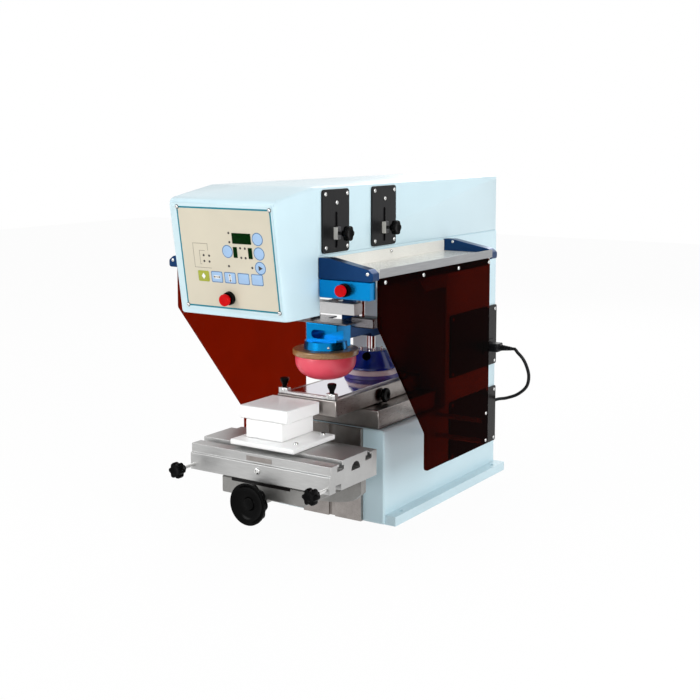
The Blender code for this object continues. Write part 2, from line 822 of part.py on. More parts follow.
def hood_outline(sheet):
    """Side view of the hood, drawn in by the thickness of its sheet."""
    front = Vector((-HEAD_BROW_REACH + HEAD_CHIN_REACH, HEAD_BROW_HEIGHT - HEAD_BOTTOM))
    crown = Vector((HEAD_BROW_REACH - CROWN_REACH, HOOD_TOP - HEAD_BROW_HEIGHT))
    lean = front.x / front.y
    rise = crown.y / crown.x
    setback = sheet * math.sqrt(1 + lean**2)
    drop = sheet * math.sqrt(1 + rise**2)
    # where the drawn-in front face meets the drawn-in crown slope
    reach = -HEAD_CHIN_REACH + setback - HEAD_BOTTOM * lean
    base = HEAD_BROW_HEIGHT - drop + HEAD_BROW_REACH * rise
    brow_height = (base + reach * rise) / (1 - lean * rise)
    return [
        (reach + (HEAD_BOTTOM + sheet) * lean, HEAD_BOTTOM + sheet),
        (reach + brow_height * lean, brow_height),
        ((HOOD_TOP - sheet - base) / rise, HOOD_TOP - sheet),
        (BASE_LENGTH - sheet, HOOD_TOP - sheet),
        (BASE_LENGTH - sheet, SEAM_HEIGHT - 2 * sheet),
        (-ARM_REACH - sheet, SEAM_HEIGHT - 2 * sheet),
        (-ARM_REACH - sheet, HEAD_BOTTOM + sheet),
    ]


def top_hood(body, finish):
    """Folded sheet hood, open below where it stands on the arm and the tower."""
    chin, brow, crown, back_top, _, _, _ = hood_outline(0)
    outline = rounded(
        [
            (*chin, HOOD_EDGE),
            (*brow, BROW_BEND),
            (*crown, CROWN_BEND),
            (*back_top, HOOD_EDGE),
            (BASE_LENGTH, SEAM_HEIGHT),
            (-ARM_REACH, SEAM_HEIGHT),
            (-ARM_REACH, HEAD_BOTTOM),
        ],
        0,
    )
    hood = plate("top_hood", outline, "YZ", -HOOD_FACE, HOOD_FACE, finish, body)

    def outer_edge(start, end):
        level = abs(start.z - end.z) < HOOD_SHEET
        seam = start.y + end.y < 2 * SEAM_HEIGHT + HOOD_SHEET
        under = max(start.x, end.x) > -ARM_REACH - HOOD_SHEET
        return level and not (seam and under)

    soften_chosen(hood, HOOD_EDGE, outer_edge)
    inner = HOOD_FACE - HOOD_SHEET
    hollow = plate("hood_hollow", hood_outline(HOOD_SHEET), "YZ", -inner, inner, finish, body)
    return cut(hood, hollow)


# Head: panel, buttons


def face_turn():
    """The lean of the head's front face, as a turn about X of a piece made facing up."""
    lean = math.atan2(HEAD_BROW_REACH - HEAD_CHIN_REACH, HEAD_BROW_HEIGHT - HEAD_BOTTOM)
    return math.pi / 2 + lean


def on_face(side, rise, proud):
    """A place on the head's leaning front face, in the machine's axes."""
    along = Vector((0, HEAD_CHIN_REACH - HEAD_BROW_REACH, HEAD_BROW_HEIGHT - HEAD_BOTTOM)).normalized()
    outward = Vector((0, -along.z, along.y))
    return Vector((side, -HEAD_CHIN_REACH, HEAD_BOTTOM)) + along * rise + outward * proud


def cap_profile():
    """Side of a mushroom button with its stem, from the crown down."""
    under = COLLAR_HEIGHT + BUTTON_TRAVEL + SEAT_GAP
    crown = under + CAP_HEIGHT
    stem = BUTTON_TRAVEL + SEAT_GAP
    return [
        (0, crown),
        (CAP_RADIUS - CAP_EDGE, crown),
        (CAP_RADIUS, crown - CAP_EDGE),
        (CAP_RADIUS, under),
        (CAP_STEM_RADIUS, under),
        (CAP_STEM_RADIUS, stem),
        (0, stem),
    ]


def control_panel(body, plastic, dark):
    """Keypad plate on the leaning face, with the collar of the stop button."""
    half = PANEL_WIDTH / 2
    corners = [(-half, 0), (half, 0), (half, PANEL_LENGTH), (-half, PANEL_LENGTH)]
    panel = plate(
        "control_panel", rounded(corners, PANEL_CORNER), "XY", 0, PANEL_THICKNESS, plastic, body
    )
    panel.location = on_face(0, PANEL_LOW_MARGIN, SEAT_GAP + PANEL_THICKNESS / 2)
    panel.rotation_euler = (face_turn(), 0, 0)
    base = SEAT_GAP + PANEL_THICKNESS - WELD_SKIN
    ring = rod(
        "panel_collar",
        on_face(PANEL_BUTTON_SIDE, PANEL_BUTTON_RISE, base),
        "+Z",
        COLLAR_HEIGHT + WELD_SKIN,
        COLLAR_RADIUS,
        dark,
        body,
    )
    bore = rod(
        "panel_collar_bore",
        on_face(PANEL_BUTTON_SIDE, PANEL_BUTTON_RISE, SEAT_GAP + PANEL_THICKNESS),
        "+Z",
        COLLAR_HEIGHT + OVERRUN,
        CAP_STEM_RADIUS + RUN_GAP,
        dark,
        body,
    )
    for piece in (ring, bore):
        piece.rotation_euler = (face_turn(), 0, 0)
    fuse(panel, ring)
    return cut(panel, bore)


def panel_button(hinge, finish):
    cap = turned(
        "panel_button",
        cap_profile(),
        on_face(PANEL_BUTTON_SIDE, PANEL_BUTTON_RISE, SEAT_GAP + PANEL_THICKNESS),
        "+Z",
        finish,
        hinge,
    )
    cap.rotation_euler = (face_turn(), 0, 0)
    return cap


def side_panels(body, finish):
    """Two black service panels low on the tower's right side, the upper with the power inlet."""
    back = BASE_LENGTH - SIDE_PANEL_BACK_INSET
    low_face = SIDE_FACE + SEAT_GAP
    panels = []
    for name, bottom, height in (
        ("power_panel", POWER_PANEL_BOTTOM, POWER_PANEL_HEIGHT),
        ("lower_panel", LOWER_PANEL_BOTTOM, LOWER_PANEL_HEIGHT),
    ):
        corners = [
            (back - SIDE_PANEL_LENGTH, bottom),
            (back, bottom),
            (back, bottom + height),
            (back - SIDE_PANEL_LENGTH, bottom + height),
        ]
        outline = rounded(corners, SIDE_PANEL_CORNER)
        panels.append(
            plate(name, outline, "YZ", low_face, low_face + SIDE_PANEL_THICKNESS, finish, body)
        )
    middle = BASE_LENGTH - INLET_BACK_INSET
    flange = box(
        "inlet_flange",
        (low_face + WELD_REACH, middle - INLET_WIDTH / 2, INLET_HEIGHT - INLET_TALL / 2),
        (
            low_face + SIDE_PANEL_THICKNESS + INLET_FLANGE,
            middle + INLET_WIDTH / 2,
            INLET_HEIGHT + INLET_TALL / 2,
        ),
        finish,
        body,
    )
    fuse(panels[0], flange)
    return panels


# Trays, brackets, covers


def tray_outline():
    """End view of the right tray: back wall, floor, folded lip and the flange that holds the cover."""
    wall = SIDE_FACE + SEAT_GAP
    flange = COVER_FACE - COVER_THICKNESS - SEAT_GAP
    under = TRAY_FLOOR - TRAY_SHEET
    return [
        (wall, under),
        (flange - TRAY_SHEET, under),
        (flange - TRAY_SHEET, under - TRAY_FLANGE_DROP),
        (flange, under - TRAY_FLANGE_DROP),
        (flange, under),
        (TRAY_FACE - TRAY_SHEET, under),
        (TRAY_FACE - TRAY_SHEET, TRAY_LIP_BOTTOM),
        (TRAY_FACE, TRAY_LIP_BOTTOM),
        (TRAY_FACE, TRAY_LIP_TOP),
        (TRAY_FACE - TRAY_SHEET, TRAY_LIP_TOP),
        (TRAY_FACE - TRAY_SHEET, TRAY_FLOOR),
        (wall + TRAY_SHEET, TRAY_FLOOR),
        (wall + TRAY_SHEET, TRAY_WALL_TOP),
        (wall, TRAY_WALL_TOP),
    ]


def bracket_outline():
    wall = SIDE_FACE + SEAT_GAP
    tip = BRACKET_BOTTOM + BRACKET_NOSE
    return rounded(
        [
            (wall, BRACKET_BOTTOM, 0),
            (TRAY_FACE, BRACKET_BOTTOM),
            (TRAY_FACE, tip),
            (TRAY_FACE - BRACKET_CHAMFER, BRACKET_BOTTOM + BRACKET_TIP_RISE),
            (wall + BRACKET_SHOULDER, BRACKET_TOP),
            (wall, BRACKET_TOP, 0),
        ],
        BRACKET_CORNER,
        2,
    )


def trays(body, enamel, navy):
    for name, side in SIDES.items():
        plate(
            "tray_" + name,
            mirrored(side, tray_outline()),
            "XZ",
            -TRAY_FRONT,
            TRAY_BACK,
            enamel,
            body,
        )
        for end, low in (
            ("front", -TRAY_FRONT - SEAT_GAP - BRACKET_THICKNESS),
            ("rear", TRAY_BACK + SEAT_GAP),
        ):
            plate(
                "tray_bracket_" + end + "_" + name,
                mirrored(side, bracket_outline()),
                "XZ",
                low,
                low + BRACKET_THICKNESS,
                navy,
                body,
            )


def button_box(body, finish, dark):
    """Azure box of the start button, under the right front bracket."""
    front = -TRAY_FRONT - SEAT_GAP - BRACKET_THICKNESS
    top = BRACKET_BOTTOM - SEAT_GAP
    wall = SIDE_FACE + SEAT_GAP
    shell = box(
        "button_box",
        (wall, front, top - BUTTON_BOX_HEIGHT),
        (wall + BUTTON_BOX_WIDTH, front + BUTTON_BOX_DEPTH, top),
        finish,
        body,
    )
    soften(shell, BUTTON_BOX_EDGE, segments=1)
    centre = (wall + HEAD_BUTTON_REACH, front, top - BUTTON_BOX_HEIGHT / 2)
    ring = rod(
        "head_collar",
        (centre[0], centre[1] + WELD_REACH, centre[2]),
        "-Y",
        COLLAR_HEIGHT + WELD_REACH,
        COLLAR_RADIUS,
        dark,
        body,
    )
    bore = rod(
        "head_collar_bore",
        centre,
        "-Y",
        COLLAR_HEIGHT + OVERRUN,
        CAP_STEM_RADIUS + RUN_GAP,
        dark,
        body,
    )
    fuse(shell, ring)
    cut(shell, bore)
    return centre


def side_covers(body, finish):
    """Smoked acrylic sheets, cut away in front so that the table stays free, the left one further."""
    top = TRAY_LIP_BOTTOM - SEAT_GAP
    front = -TRAY_FRONT + SEAT_GAP
    for name, side in SIDES.items():
        left = side < 0
        knee = -COVER_KNEE_REACH + left * COVER_LEFT_KNEE_SETBACK
        outline = rounded(
            [
                (front, top),
                (front, COVER_NOSE_HEIGHT),
                (knee, COVER_KNEE_HEIGHT - left * COVER_LEFT_KNEE_DROP),
                (knee, COVER_BOTTOM),
                (COVER_BACK, COVER_BOTTOM),
                (COVER_BACK, top),
            ],
            COVER_CORNER,
        )
        inner = side * (COVER_FACE - COVER_THICKNESS)
        plate("side_cover_" + name, outline, "YZ", inner, side * COVER_FACE, finish, body)


# Stroke stops


LOBE_SHARES = ((0.15, 1.0), (0.5, 1.0), (0.7, 0.84), (0.95, 0.84))
KNOB_EDGE_SHARE = 0.1


def lobed_outline(radius, lobes):
    """Plan of a hand knob: each lobe has two points on the rim, then two in the dip beside it."""
    points = []
    for lobe in range(lobes):
        for turn_share, reach_share in LOBE_SHARES:
            angle = 2 * math.pi * (lobe + turn_share) / lobes
            reach = radius * reach_share
            points.append((reach * math.cos(angle), reach * math.sin(angle)))
    return points


def knob(name, place, axis, radius, length, lobes, material, hinge):
    """A lobed hand knob standing on its place, along an axis."""
    outline = lobed_outline(radius, lobes)
    head = plate(name, outline, "XY", 0, length, material, hinge)
    half = length / 2
    reach = Vector({"+X": (half, 0, 0), "-Y": (0, -half, 0), "+Z": (0, 0, half)}[axis])
    head.location = Vector(place) + reach
    head.rotation_euler = AXIS_TURNS[axis]
    return soften(head, radius * KNOB_EDGE_SHARE, segments=1)


def stop_places():
    """Middle of each stop's slot along Y, with the front edge of its plate."""
    for front in STOP_PLATE_FRONT_PLACES:
        yield front, front + STOP_PLATE_LENGTH * STOP_SLOT_SHARE


def stroke_stops(body, dark, steel):
    """Slotted plates, each with a clamped stop block that is set up or down by its knob."""
    low = HOOD_FACE + SEAT_GAP
    high = low + STOP_PLATE_THICKNESS
    slot_middle = STOP_PLATE_BOTTOM + STOP_SLOT_CENTRE_RISE
    for name, (front, middle) in zip(("front", "rear"), stop_places()):
        corners = [
            (front, STOP_PLATE_BOTTOM),
            (front + STOP_PLATE_LENGTH, STOP_PLATE_BOTTOM),
            (front + STOP_PLATE_LENGTH, STOP_PLATE_BOTTOM + STOP_PLATE_HEIGHT),
            (front, STOP_PLATE_BOTTOM + STOP_PLATE_HEIGHT),
        ]
        half_width, half_length = STOP_SLOT_WIDTH / 2, STOP_SLOT_LENGTH / 2
        slot = rounded(
            [
                (middle - half_width, slot_middle - half_length),
                (middle - half_width, slot_middle + half_length),
                (middle + half_width, slot_middle + half_length),
                (middle + half_width, slot_middle - half_length),
            ],
            half_width * ROUND_END_SHARE,
        )
        plate(
            "stop_plate_" + name,
            rounded(corners, STOP_PLATE_CORNER),
            "YZ",
            low,
            high,
            dark,
            body,
            [slot],
        )
        height = STOP_PLATE_BOTTOM + STOP_REST_RISE
        slider = carrier("stop_slide_" + name, body, (high, middle, height))
        tab = box(
            "stop_block_" + name,
            (high + SEAT_GAP, middle - STOP_TAB_LENGTH / 2, height - STOP_TAB_HEIGHT / 2),
            (
                high + SEAT_GAP + STOP_TAB_THICKNESS,
                middle + STOP_TAB_LENGTH / 2,
                height + STOP_TAB_HEIGHT / 2,
            ),
            steel,
            slider,
        )
        soften(tab, STOP_TAB_EDGE, segments=1)
        tenon = rod(
            "stop_tenon",
            (low + SEAT_GAP, middle, height),
            "+X",
            STOP_PLATE_THICKNESS + WELD_REACH,
            STOP_SHANK_RADIUS,
            steel,
            slider,
            SMALL_SIDES,
        )
        neck = rod(
            "stop_neck",
            (high + SEAT_GAP + STOP_TAB_THICKNESS - WELD_REACH, middle, height),
            "+X",
            STOP_SHANK_LENGTH + WELD_REACH,
            STOP_SHANK_RADIUS,
            steel,
            slider,
            SMALL_SIDES,
        )
        fuse(tab, tenon, neck)
        start = high + SEAT_GAP + STOP_TAB_THICKNESS + STOP_SHANK_LENGTH + SEAT_GAP
        screw = carrier("stop_screw_" + name, slider, (start, middle, height))
        knob(
            "stop_knob_" + name,
            (start, middle, height),
            "+X",
            STOP_KNOB_RADIUS,
            STOP_KNOB_LENGTH,
            STOP_KNOB_LOBES,
            dark,
            screw,
        )


# Knee, table and jig


def slide_ways(body, finish):
    """Ground steel ways on the column's front face, with the groove of the lifting rack."""
    half, groove = WAY_WIDTH / 2, WAY_GROOVE_WIDTH / 2
    outline = [
        (-half, -SEAT_GAP),
        (-half, WAY_FACE),
        (-groove, WAY_FACE),
        (-groove, WAY_FACE + WAY_GROOVE_DEPTH),
        (groove, WAY_FACE + WAY_GROOVE_DEPTH),
        (groove, WAY_FACE),
        (half, WAY_FACE),
        (half, -SEAT_GAP),
    ]
    return plate("slide_ways", outline, "XY", WAY_BOTTOM, BASE_HEIGHT - SEAT_GAP, finish, body)


def knee(lift, finish):
    """Cast knee: hub on the ways, wide web with an arched lower edge and the block under the saddle."""
    half = KNEE_WEB_WIDTH / 2
    hub_half = KNEE_HUB_WIDTH / 2
    arch = [(-half, KNEE_TOP), (half, KNEE_TOP)]
    span = half - hub_half / 2
    for step in range(2 * CORNER_STEPS + 1):
        share = step / (2 * CORNER_STEPS)
        rise = KNEE_ARCH_RISE * (1 - math.sqrt(max(0, 1 - (1 - share) ** 2)))
        arch.append((half - span * share, KNEE_WEB_BOTTOM + rise))
    arch += [(-x, z) for x, z in reversed(arch[2:])]
    web_back = -KNEE_WEB_FRONT + KNEE_WEB_THICKNESS
    web = plate("knee", arch, "XZ", -KNEE_WEB_FRONT, web_back, finish, lift)
    block = box(
        "knee_block",
        (-KNEE_BLOCK_WIDTH / 2, -KNEE_BLOCK_REACH, KNEE_TOP - KNEE_BLOCK_HEIGHT),
        (KNEE_BLOCK_WIDTH / 2, web_back - KNEE_EDGE, KNEE_TOP),
        finish,
        lift,
    )
    soften(block, KNEE_EDGE, segments=1)
    hub = box(
        "knee_hub",
        (-hub_half, -KNEE_WEB_FRONT + KNEE_EDGE, KNEE_WEB_BOTTOM),
        (hub_half, WAY_FACE - RUN_GAP, KNEE_TOP),
        finish,
        lift,
    )
    tongue_half = WAY_GROOVE_WIDTH / 2 - KNEE_TONGUE_CLEARANCE
    tongue = box(
        "knee_tongue",
        (-tongue_half, WAY_FACE - OVERRUN, KNEE_WEB_BOTTOM + KNEE_EDGE),
        (tongue_half, WAY_FACE + WAY_GROOVE_DEPTH - KNEE_TONGUE_CLEARANCE, KNEE_TOP - KNEE_EDGE),
        finish,
        lift,
    )
    boss = rod(
        "knee_boss",
        (0, -KNEE_BLOCK_REACH, WHEEL_HEIGHT),
        "+Y",
        KNEE_BOSS_LENGTH,
        KNEE_BOSS_RADIUS,
        finish,
        lift,
    )
    return fuse(web, block, hub, tongue, boss)


def handwheel(hinge, finish):
    """Moulded wheel with a dished face and a rounded rim, on its shaft."""
    rim, thick = WHEEL_RADIUS, WHEEL_THICKNESS
    shaft = -(WHEEL_FRONT_REACH - thick - KNEE_BLOCK_REACH - SEAT_GAP)
    profile_shares = (
        (0.00, 0.80),
        (0.30, 0.80),
        (0.36, 0.62),
        (0.66, 0.60),
        (0.74, 0.90),
        (0.84, 1.00),
        (0.94, 0.92),
        (1.00, 0.72),
        (1.00, 0.44),
        (0.92, 0.26),
        (0.80, 0.22),
        (0.70, 0.38),
        (0.42, 0.34),
        (0.36, 0.00),
    )
    profile = [(rim * across, thick * up) for across, up in profile_shares]
    profile += [(WHEEL_SHAFT_RADIUS, 0), (WHEEL_SHAFT_RADIUS, shaft), (0, shaft)]
    back = -WHEEL_FRONT_REACH + thick
    return turned(
        "handwheel", profile, (0, back, WHEEL_HEIGHT), "-Y", finish, hinge, sides=FINE_SIDES
    )


def saddle(slide, finish):
    """Dark slide plate between the knee and the table."""
    back = -KNEE_WEB_FRONT
    return box(
        "saddle",
        (-SADDLE_WIDTH / 2, back - SADDLE_LENGTH, KNEE_TOP + SEAT_GAP),
        (SADDLE_WIDTH / 2, back, KNEE_TOP + SEAT_GAP + SADDLE_HEIGHT),
        finish,
        slide,
    )


def slot_points(middle, land, crown_side):
    """Outline of one T-slot from the crown side to the land side, open at the top."""
    neck, foot = SLOT_NECK / 2, SLOT_FOOT_WIDTH / 2
    ceiling = TABLE_TOP - SLOT_NECK_DEPTH
    floor = ceiling - SLOT_FOOT_HEIGHT
    return [
        (middle + crown_side * neck, TABLE_TOP),
        (middle + crown_side * neck, ceiling),
        (middle + crown_side * foot, ceiling),
        (middle + crown_side * foot, floor),
        (middle - crown_side * foot, floor),
        (middle - crown_side * foot, ceiling),
        (middle - crown_side * neck, ceiling),
        (middle - crown_side * neck, land),
    ]


def t_slot_table(slide, finish):
    """Aluminium table with a T-slot each side of a raised crown and a half-moon bore along it."""
    land = TABLE_TOP - TABLE_LAND_DROP
    crown_back = -TABLE_BACK - TABLE_CROWN_BACK
    crown_front = crown_back - TABLE_CROWN_WIDTH
    front = -TABLE_FRONT
    notch = front + TABLE_NOTCH_FRONT
    outline = [
        (front, TABLE_BOTTOM),
        (front, TABLE_BOTTOM + TABLE_APRON_HEIGHT),
        (front + TABLE_APRON_STEP, TABLE_BOTTOM + TABLE_APRON_HEIGHT + TABLE_APRON_STEP / 2),
        (front + TABLE_APRON_STEP, land),
        *reversed(slot_points(crown_front - SLOT_NECK / 2, land, 1)),
        *slot_points(crown_back + SLOT_NECK / 2, land, -1),
        (-TABLE_BACK, land),
        (-TABLE_BACK, TABLE_BOTTOM),
        (notch + TABLE_NOTCH_WIDTH, TABLE_BOTTOM),
        (notch + TABLE_NOTCH_WIDTH, TABLE_BOTTOM + TABLE_NOTCH_HEIGHT),
        (notch, TABLE_BOTTOM + TABLE_NOTCH_HEIGHT),
        (notch, TABLE_BOTTOM),
    ]
    half = TABLE_BORE_WIDTH / 2
    middle = -TABLE_BACK - TABLE_BORE_BACK
    moon = [
        (
            middle + half * math.cos(math.pi * step / ARC_STEPS),
            TABLE_BOTTOM + TABLE_BORE_RISE + half * math.sin(math.pi * step / ARC_STEPS),
        )
        for step in range(ARC_STEPS + 1)
    ]
    return plate(
        "t_slot_table",
        outline,
        "YZ",
        -TABLE_LENGTH / 2,
        TABLE_LENGTH / 2,
        finish,
        slide,
        [moon],
    )


def table_knobs(slide, dark):
    """Clamp knobs in front of the table's ends, each with its own stem."""
    height = TABLE_BOTTOM + TABLE_KNOB_RISE
    for name, side in SIDES.items():
        place = (side * TABLE_KNOB_SPACING / 2, -TABLE_FRONT - TABLE_KNOB_STEM, height)
        hinge = carrier("table_clamp_" + name, slide, place)
        head = knob(
            "table_knob_" + name,
            place,
            "-Y",
            TABLE_KNOB_RADIUS,
            TABLE_KNOB_LENGTH,
            TABLE_KNOB_LOBES,
            dark,
            hinge,
        )
        stem = rod(
            "table_knob_stem",
            (place[0], -TABLE_FRONT - SEAT_GAP, height),
            "-Y",
            TABLE_KNOB_STEM + WELD_REACH,
            TABLE_KNOB_STEM_RADIUS,
            dark,
            hinge,
            SMALL_SIDES,
        )
        fuse(head, stem)


def jig(slide, finish):
    """White nest for the article that is printed: base plate, block and cap."""
    for name, width, depth, offset, back, low, high in (
        (
            "jig_plate",
            JIG_PLATE_WIDTH,
            JIG_PLATE_DEPTH,
            JIG_OFFSET,
            JIG_PLATE_BACK,
            TABLE_TOP + SEAT_GAP,
            JIG_PLATE_TOP,
        ),
        (
            "jig_block",
            JIG_BLOCK_WIDTH,
            JIG_BLOCK_DEPTH,
            JIG_BLOCK_OFFSET,
            JIG_BLOCK_BACK,
            JIG_PLATE_TOP + SEAT_GAP,
            JIG_BLOCK_TOP,
        ),
        (
            "jig_cap",
            JIG_BLOCK_WIDTH + 2 * JIG_TOP_SIDE_LIP,
            JIG_BLOCK_DEPTH + 2 * JIG_TOP_LIP,
            JIG_BLOCK_OFFSET,
            JIG_BLOCK_BACK - JIG_TOP_LIP,
            JIG_BLOCK_TOP + SEAT_GAP,
            JIG_BLOCK_TOP + SEAT_GAP + JIG_TOP_HEIGHT,
        ),
    ):
        piece = box(
            name,
            (-offset - width / 2, -back - depth, low),
            (-offset + width / 2, -back, high),
            finish,
            slide,
        )
        soften(piece, JIG_EDGE, segments=1)


# Cliche bed


def cliche_bed(body, steel, dark):
    """Base block, overhanging bed, etched plate and the bar that clamps it."""
    base = box(
        "cliche_base",
        (-BED_BASE_WIDTH / 2, BED_BASE_FRONT, BASE_HEIGHT + SEAT_GAP),
        (BED_BASE_WIDTH / 2, BED_BASE_FRONT + BED_BASE_LENGTH, BED_BASE_TOP),
        steel,
        body,
    )
    soften(base, BED_EDGE, segments=1)
    bed = box(
        "cliche_bed",
        (-BED_WIDTH / 2, -BED_OVERHANG, BED_BASE_TOP + SEAT_GAP),
        (BED_WIDTH / 2, BED_LENGTH - BED_OVERHANG, BED_TOP),
        steel,
        body,
    )
    soften(bed, BED_EDGE, segments=1)
    front = -BED_OVERHANG + CLICHE_FRONT_INSET
    box(
        "cliche_plate",
        (-CLICHE_WIDTH / 2, front, BED_TOP + SEAT_GAP),
        (CLICHE_WIDTH / 2, front + CLICHE_LENGTH, CLICHE_TOP),
        steel,
        body,
    )
    bar = box(
        "clamp_bar",
        (-CLAMP_SPACING / 2, -BED_OVERHANG + CLAMP_EDGE, BED_TOP + SEAT_GAP),
        (
            CLAMP_SPACING / 2,
            -BED_OVERHANG + CLAMP_BLOCK_DEPTH - CLAMP_EDGE,
            BED_TOP + SEAT_GAP + CLAMP_BAR_HEIGHT,
        ),
        steel,
        body,
    )
    top = BED_TOP + SEAT_GAP + CLAMP_BLOCK_HEIGHT
    for name, side in SIDES.items():
        middle = side * CLAMP_SPACING / 2
        block = box(
            "clamp_block",
            (middle - CLAMP_BLOCK_LENGTH / 2, -BED_OVERHANG, BED_TOP + SEAT_GAP),
            (middle + CLAMP_BLOCK_LENGTH / 2, -BED_OVERHANG + CLAMP_BLOCK_DEPTH, top),
            steel,
            body,
        )
        soften(block, CLAMP_EDGE, segments=1)
        fuse(bar, block)
        place = (middle, -BED_OVERHANG + CLAMP_BLOCK_DEPTH / 2, top + SEAT_GAP)
        hinge = carrier("thumb_screw_axis_" + name, body, place)
        turned("thumb_screw_" + name, thumb_profile(), place, "+Z", dark, hinge, SMALL_SIDES)
    place = (
        BED_WIDTH / 2 + SEAT_GAP,
        BED_KNOB_PLACE,
        BED_TOP - BED_KNOB_DROP,
    )
    hinge = carrier("bed_knob_axis", body, place)
    knob(
        "bed_knob",
        place,
        "+X",
        BED_KNOB_RADIUS,
        BED_KNOB_LENGTH,
        BED_KNOB_LOBES,
        dark,
        hinge,
    )


THUMB_PROFILE_SHARES = ((0, 1.0), (0.8, 1.0), (1.0, 0.86), (0.92, 0.6), (0.45, 0.2), (0.45, 0.0), (0, 0))


def thumb_profile():
    """Side of a conical thumb screw, wide at the top."""
    foot = THUMB_SCREW_FOOT_RADIUS
    grow = THUMB_SCREW_HEAD_RADIUS
    points = [(grow * across, THUMB_SCREW_HEIGHT * up) for across, up in THUMB_PROFILE_SHARES]
    return [*points[:4], (foot, points[4][1]), (foot, 0), (0, 0)]


# Ink cup and press group


def ink_cup(spin, blue, white, steel):
    """Cup of ink that stands mouth down on the cliche: ring, dome, filler plug and screws."""
    place = (0, CUP_BACK, 0)
    low = CLICHE_TOP + SEAT_GAP
    inner = CUP_RING_RADIUS - CUP_RING_WALL
    turned(
        "cup_ring",
        [
            (CUP_NECK_RADIUS - CUP_DOME_WALL, CUP_RING_TOP),
            (CUP_NECK_RADIUS, CUP_RING_TOP),
            (CUP_RING_RADIUS, low + CUP_RING_BAND),
            (CUP_RING_RADIUS, low),
            (inner, low),
            (inner - CUP_DOME_WALL, CUP_RING_TOP - CUP_DOME_WALL),
            (CUP_NECK_RADIUS - CUP_DOME_WALL, CUP_RING_TOP),
        ],
        place,
        "+Z",
        white,
        spin,
        FINE_SIDES,
    )
    neck = CUP_NECK_RADIUS - SEAT_GAP
    base = CUP_RING_TOP + SEAT_GAP
    dome = turned(
        "cup_dome",
        [
            (0, CUP_TOP),
            (CUP_DOME_RADIUS, CUP_TOP),
            (CUP_DOME_RADIUS + CUP_DOME_WALL / 2, CUP_TOP - CUP_DOME_WALL / 2),
            (neck, base + CUP_DOME_WALL),
            (neck, base),
            (0, base),
        ],
        place,
        "+Z",
        blue,
        spin,
        FINE_SIDES,
    )
    for index in range(CUP_STUD_COUNT):
        angle = 2 * math.pi * (index + 0.5) / CUP_STUD_COUNT
        stud = rod(
            "cup_stud",
            (
                CUP_STUD_CIRCLE * math.cos(angle),
                CUP_BACK + CUP_STUD_CIRCLE * math.sin(angle),
                CUP_TOP - WELD_REACH,
            ),
            "+Z",
            CUP_STUD_HEIGHT + WELD_REACH,
            CUP_STUD_RADIUS,
            steel,
            spin,
            STUD_SIDES,
        )
        fuse(dome, stud)
    plug = rod(
        "filler_plug",
        (
            0,
            CUP_BACK - (neck + CUP_DOME_RADIUS) / 2 - CUP_PLUG_LENGTH / 2,
            (base + CUP_TOP) / 2,
        ),
        "+Y",
        CUP_PLUG_LENGTH,
        CUP_PLUG_RADIUS,
        steel,
        spin,
        SMALL_SIDES,
    )
    fuse(dome, plug)


def cup_arm(carriage, finish, steel):
    """Cranked arm that hangs from the carriage and holds the cup's post."""
    front = HOLDER_FLANGE_RADIUS - PAD_PLACE + 2 * RUN_GAP
    root_bottom = CUP_ARM_BOTTOM + CUP_ARM_ROOT_RISE
    tip_front, tip_back = CUP_BACK - CUP_ARM_TIP_REACH, CUP_BACK + CUP_ARM_TIP_REACH
    tip_top = CUP_ARM_BOTTOM + CUP_ARM_TIP_DEPTH
    hanger_back = CUP_HANGER_PLACE + CUP_HANGER_THICKNESS

    def slope(place):
        share = (place - front) / (tip_front - front)
        return CUP_ARM_ROOT_TOP + (tip_top - CUP_ARM_ROOT_TOP) * share

    outline = [
        (front, root_bottom),
        (tip_front - CUP_ARM_ROOT_RISE, root_bottom),
        (tip_front, CUP_ARM_BOTTOM),
        (tip_back, CUP_ARM_BOTTOM),
        (tip_back, tip_top),
        (tip_front, tip_top),
        (hanger_back, slope(hanger_back)),
        (hanger_back, CARRIAGE_BOTTOM - SEAT_GAP),
        (CUP_HANGER_PLACE, CARRIAGE_BOTTOM - SEAT_GAP),
        (CUP_HANGER_PLACE, slope(CUP_HANGER_PLACE)),
        (front, CUP_ARM_ROOT_TOP),
    ]
    half = CUP_ARM_WIDTH / 2
    plate("cup_arm", outline, "YZ", -half, half, finish, carriage)
    rod(
        "cup_post",
        (0, CUP_BACK, CUP_TOP + SEAT_GAP),
        "+Z",
        CUP_POST_HEIGHT,
        CUP_POST_RADIUS,
        steel,
        carriage,
    )


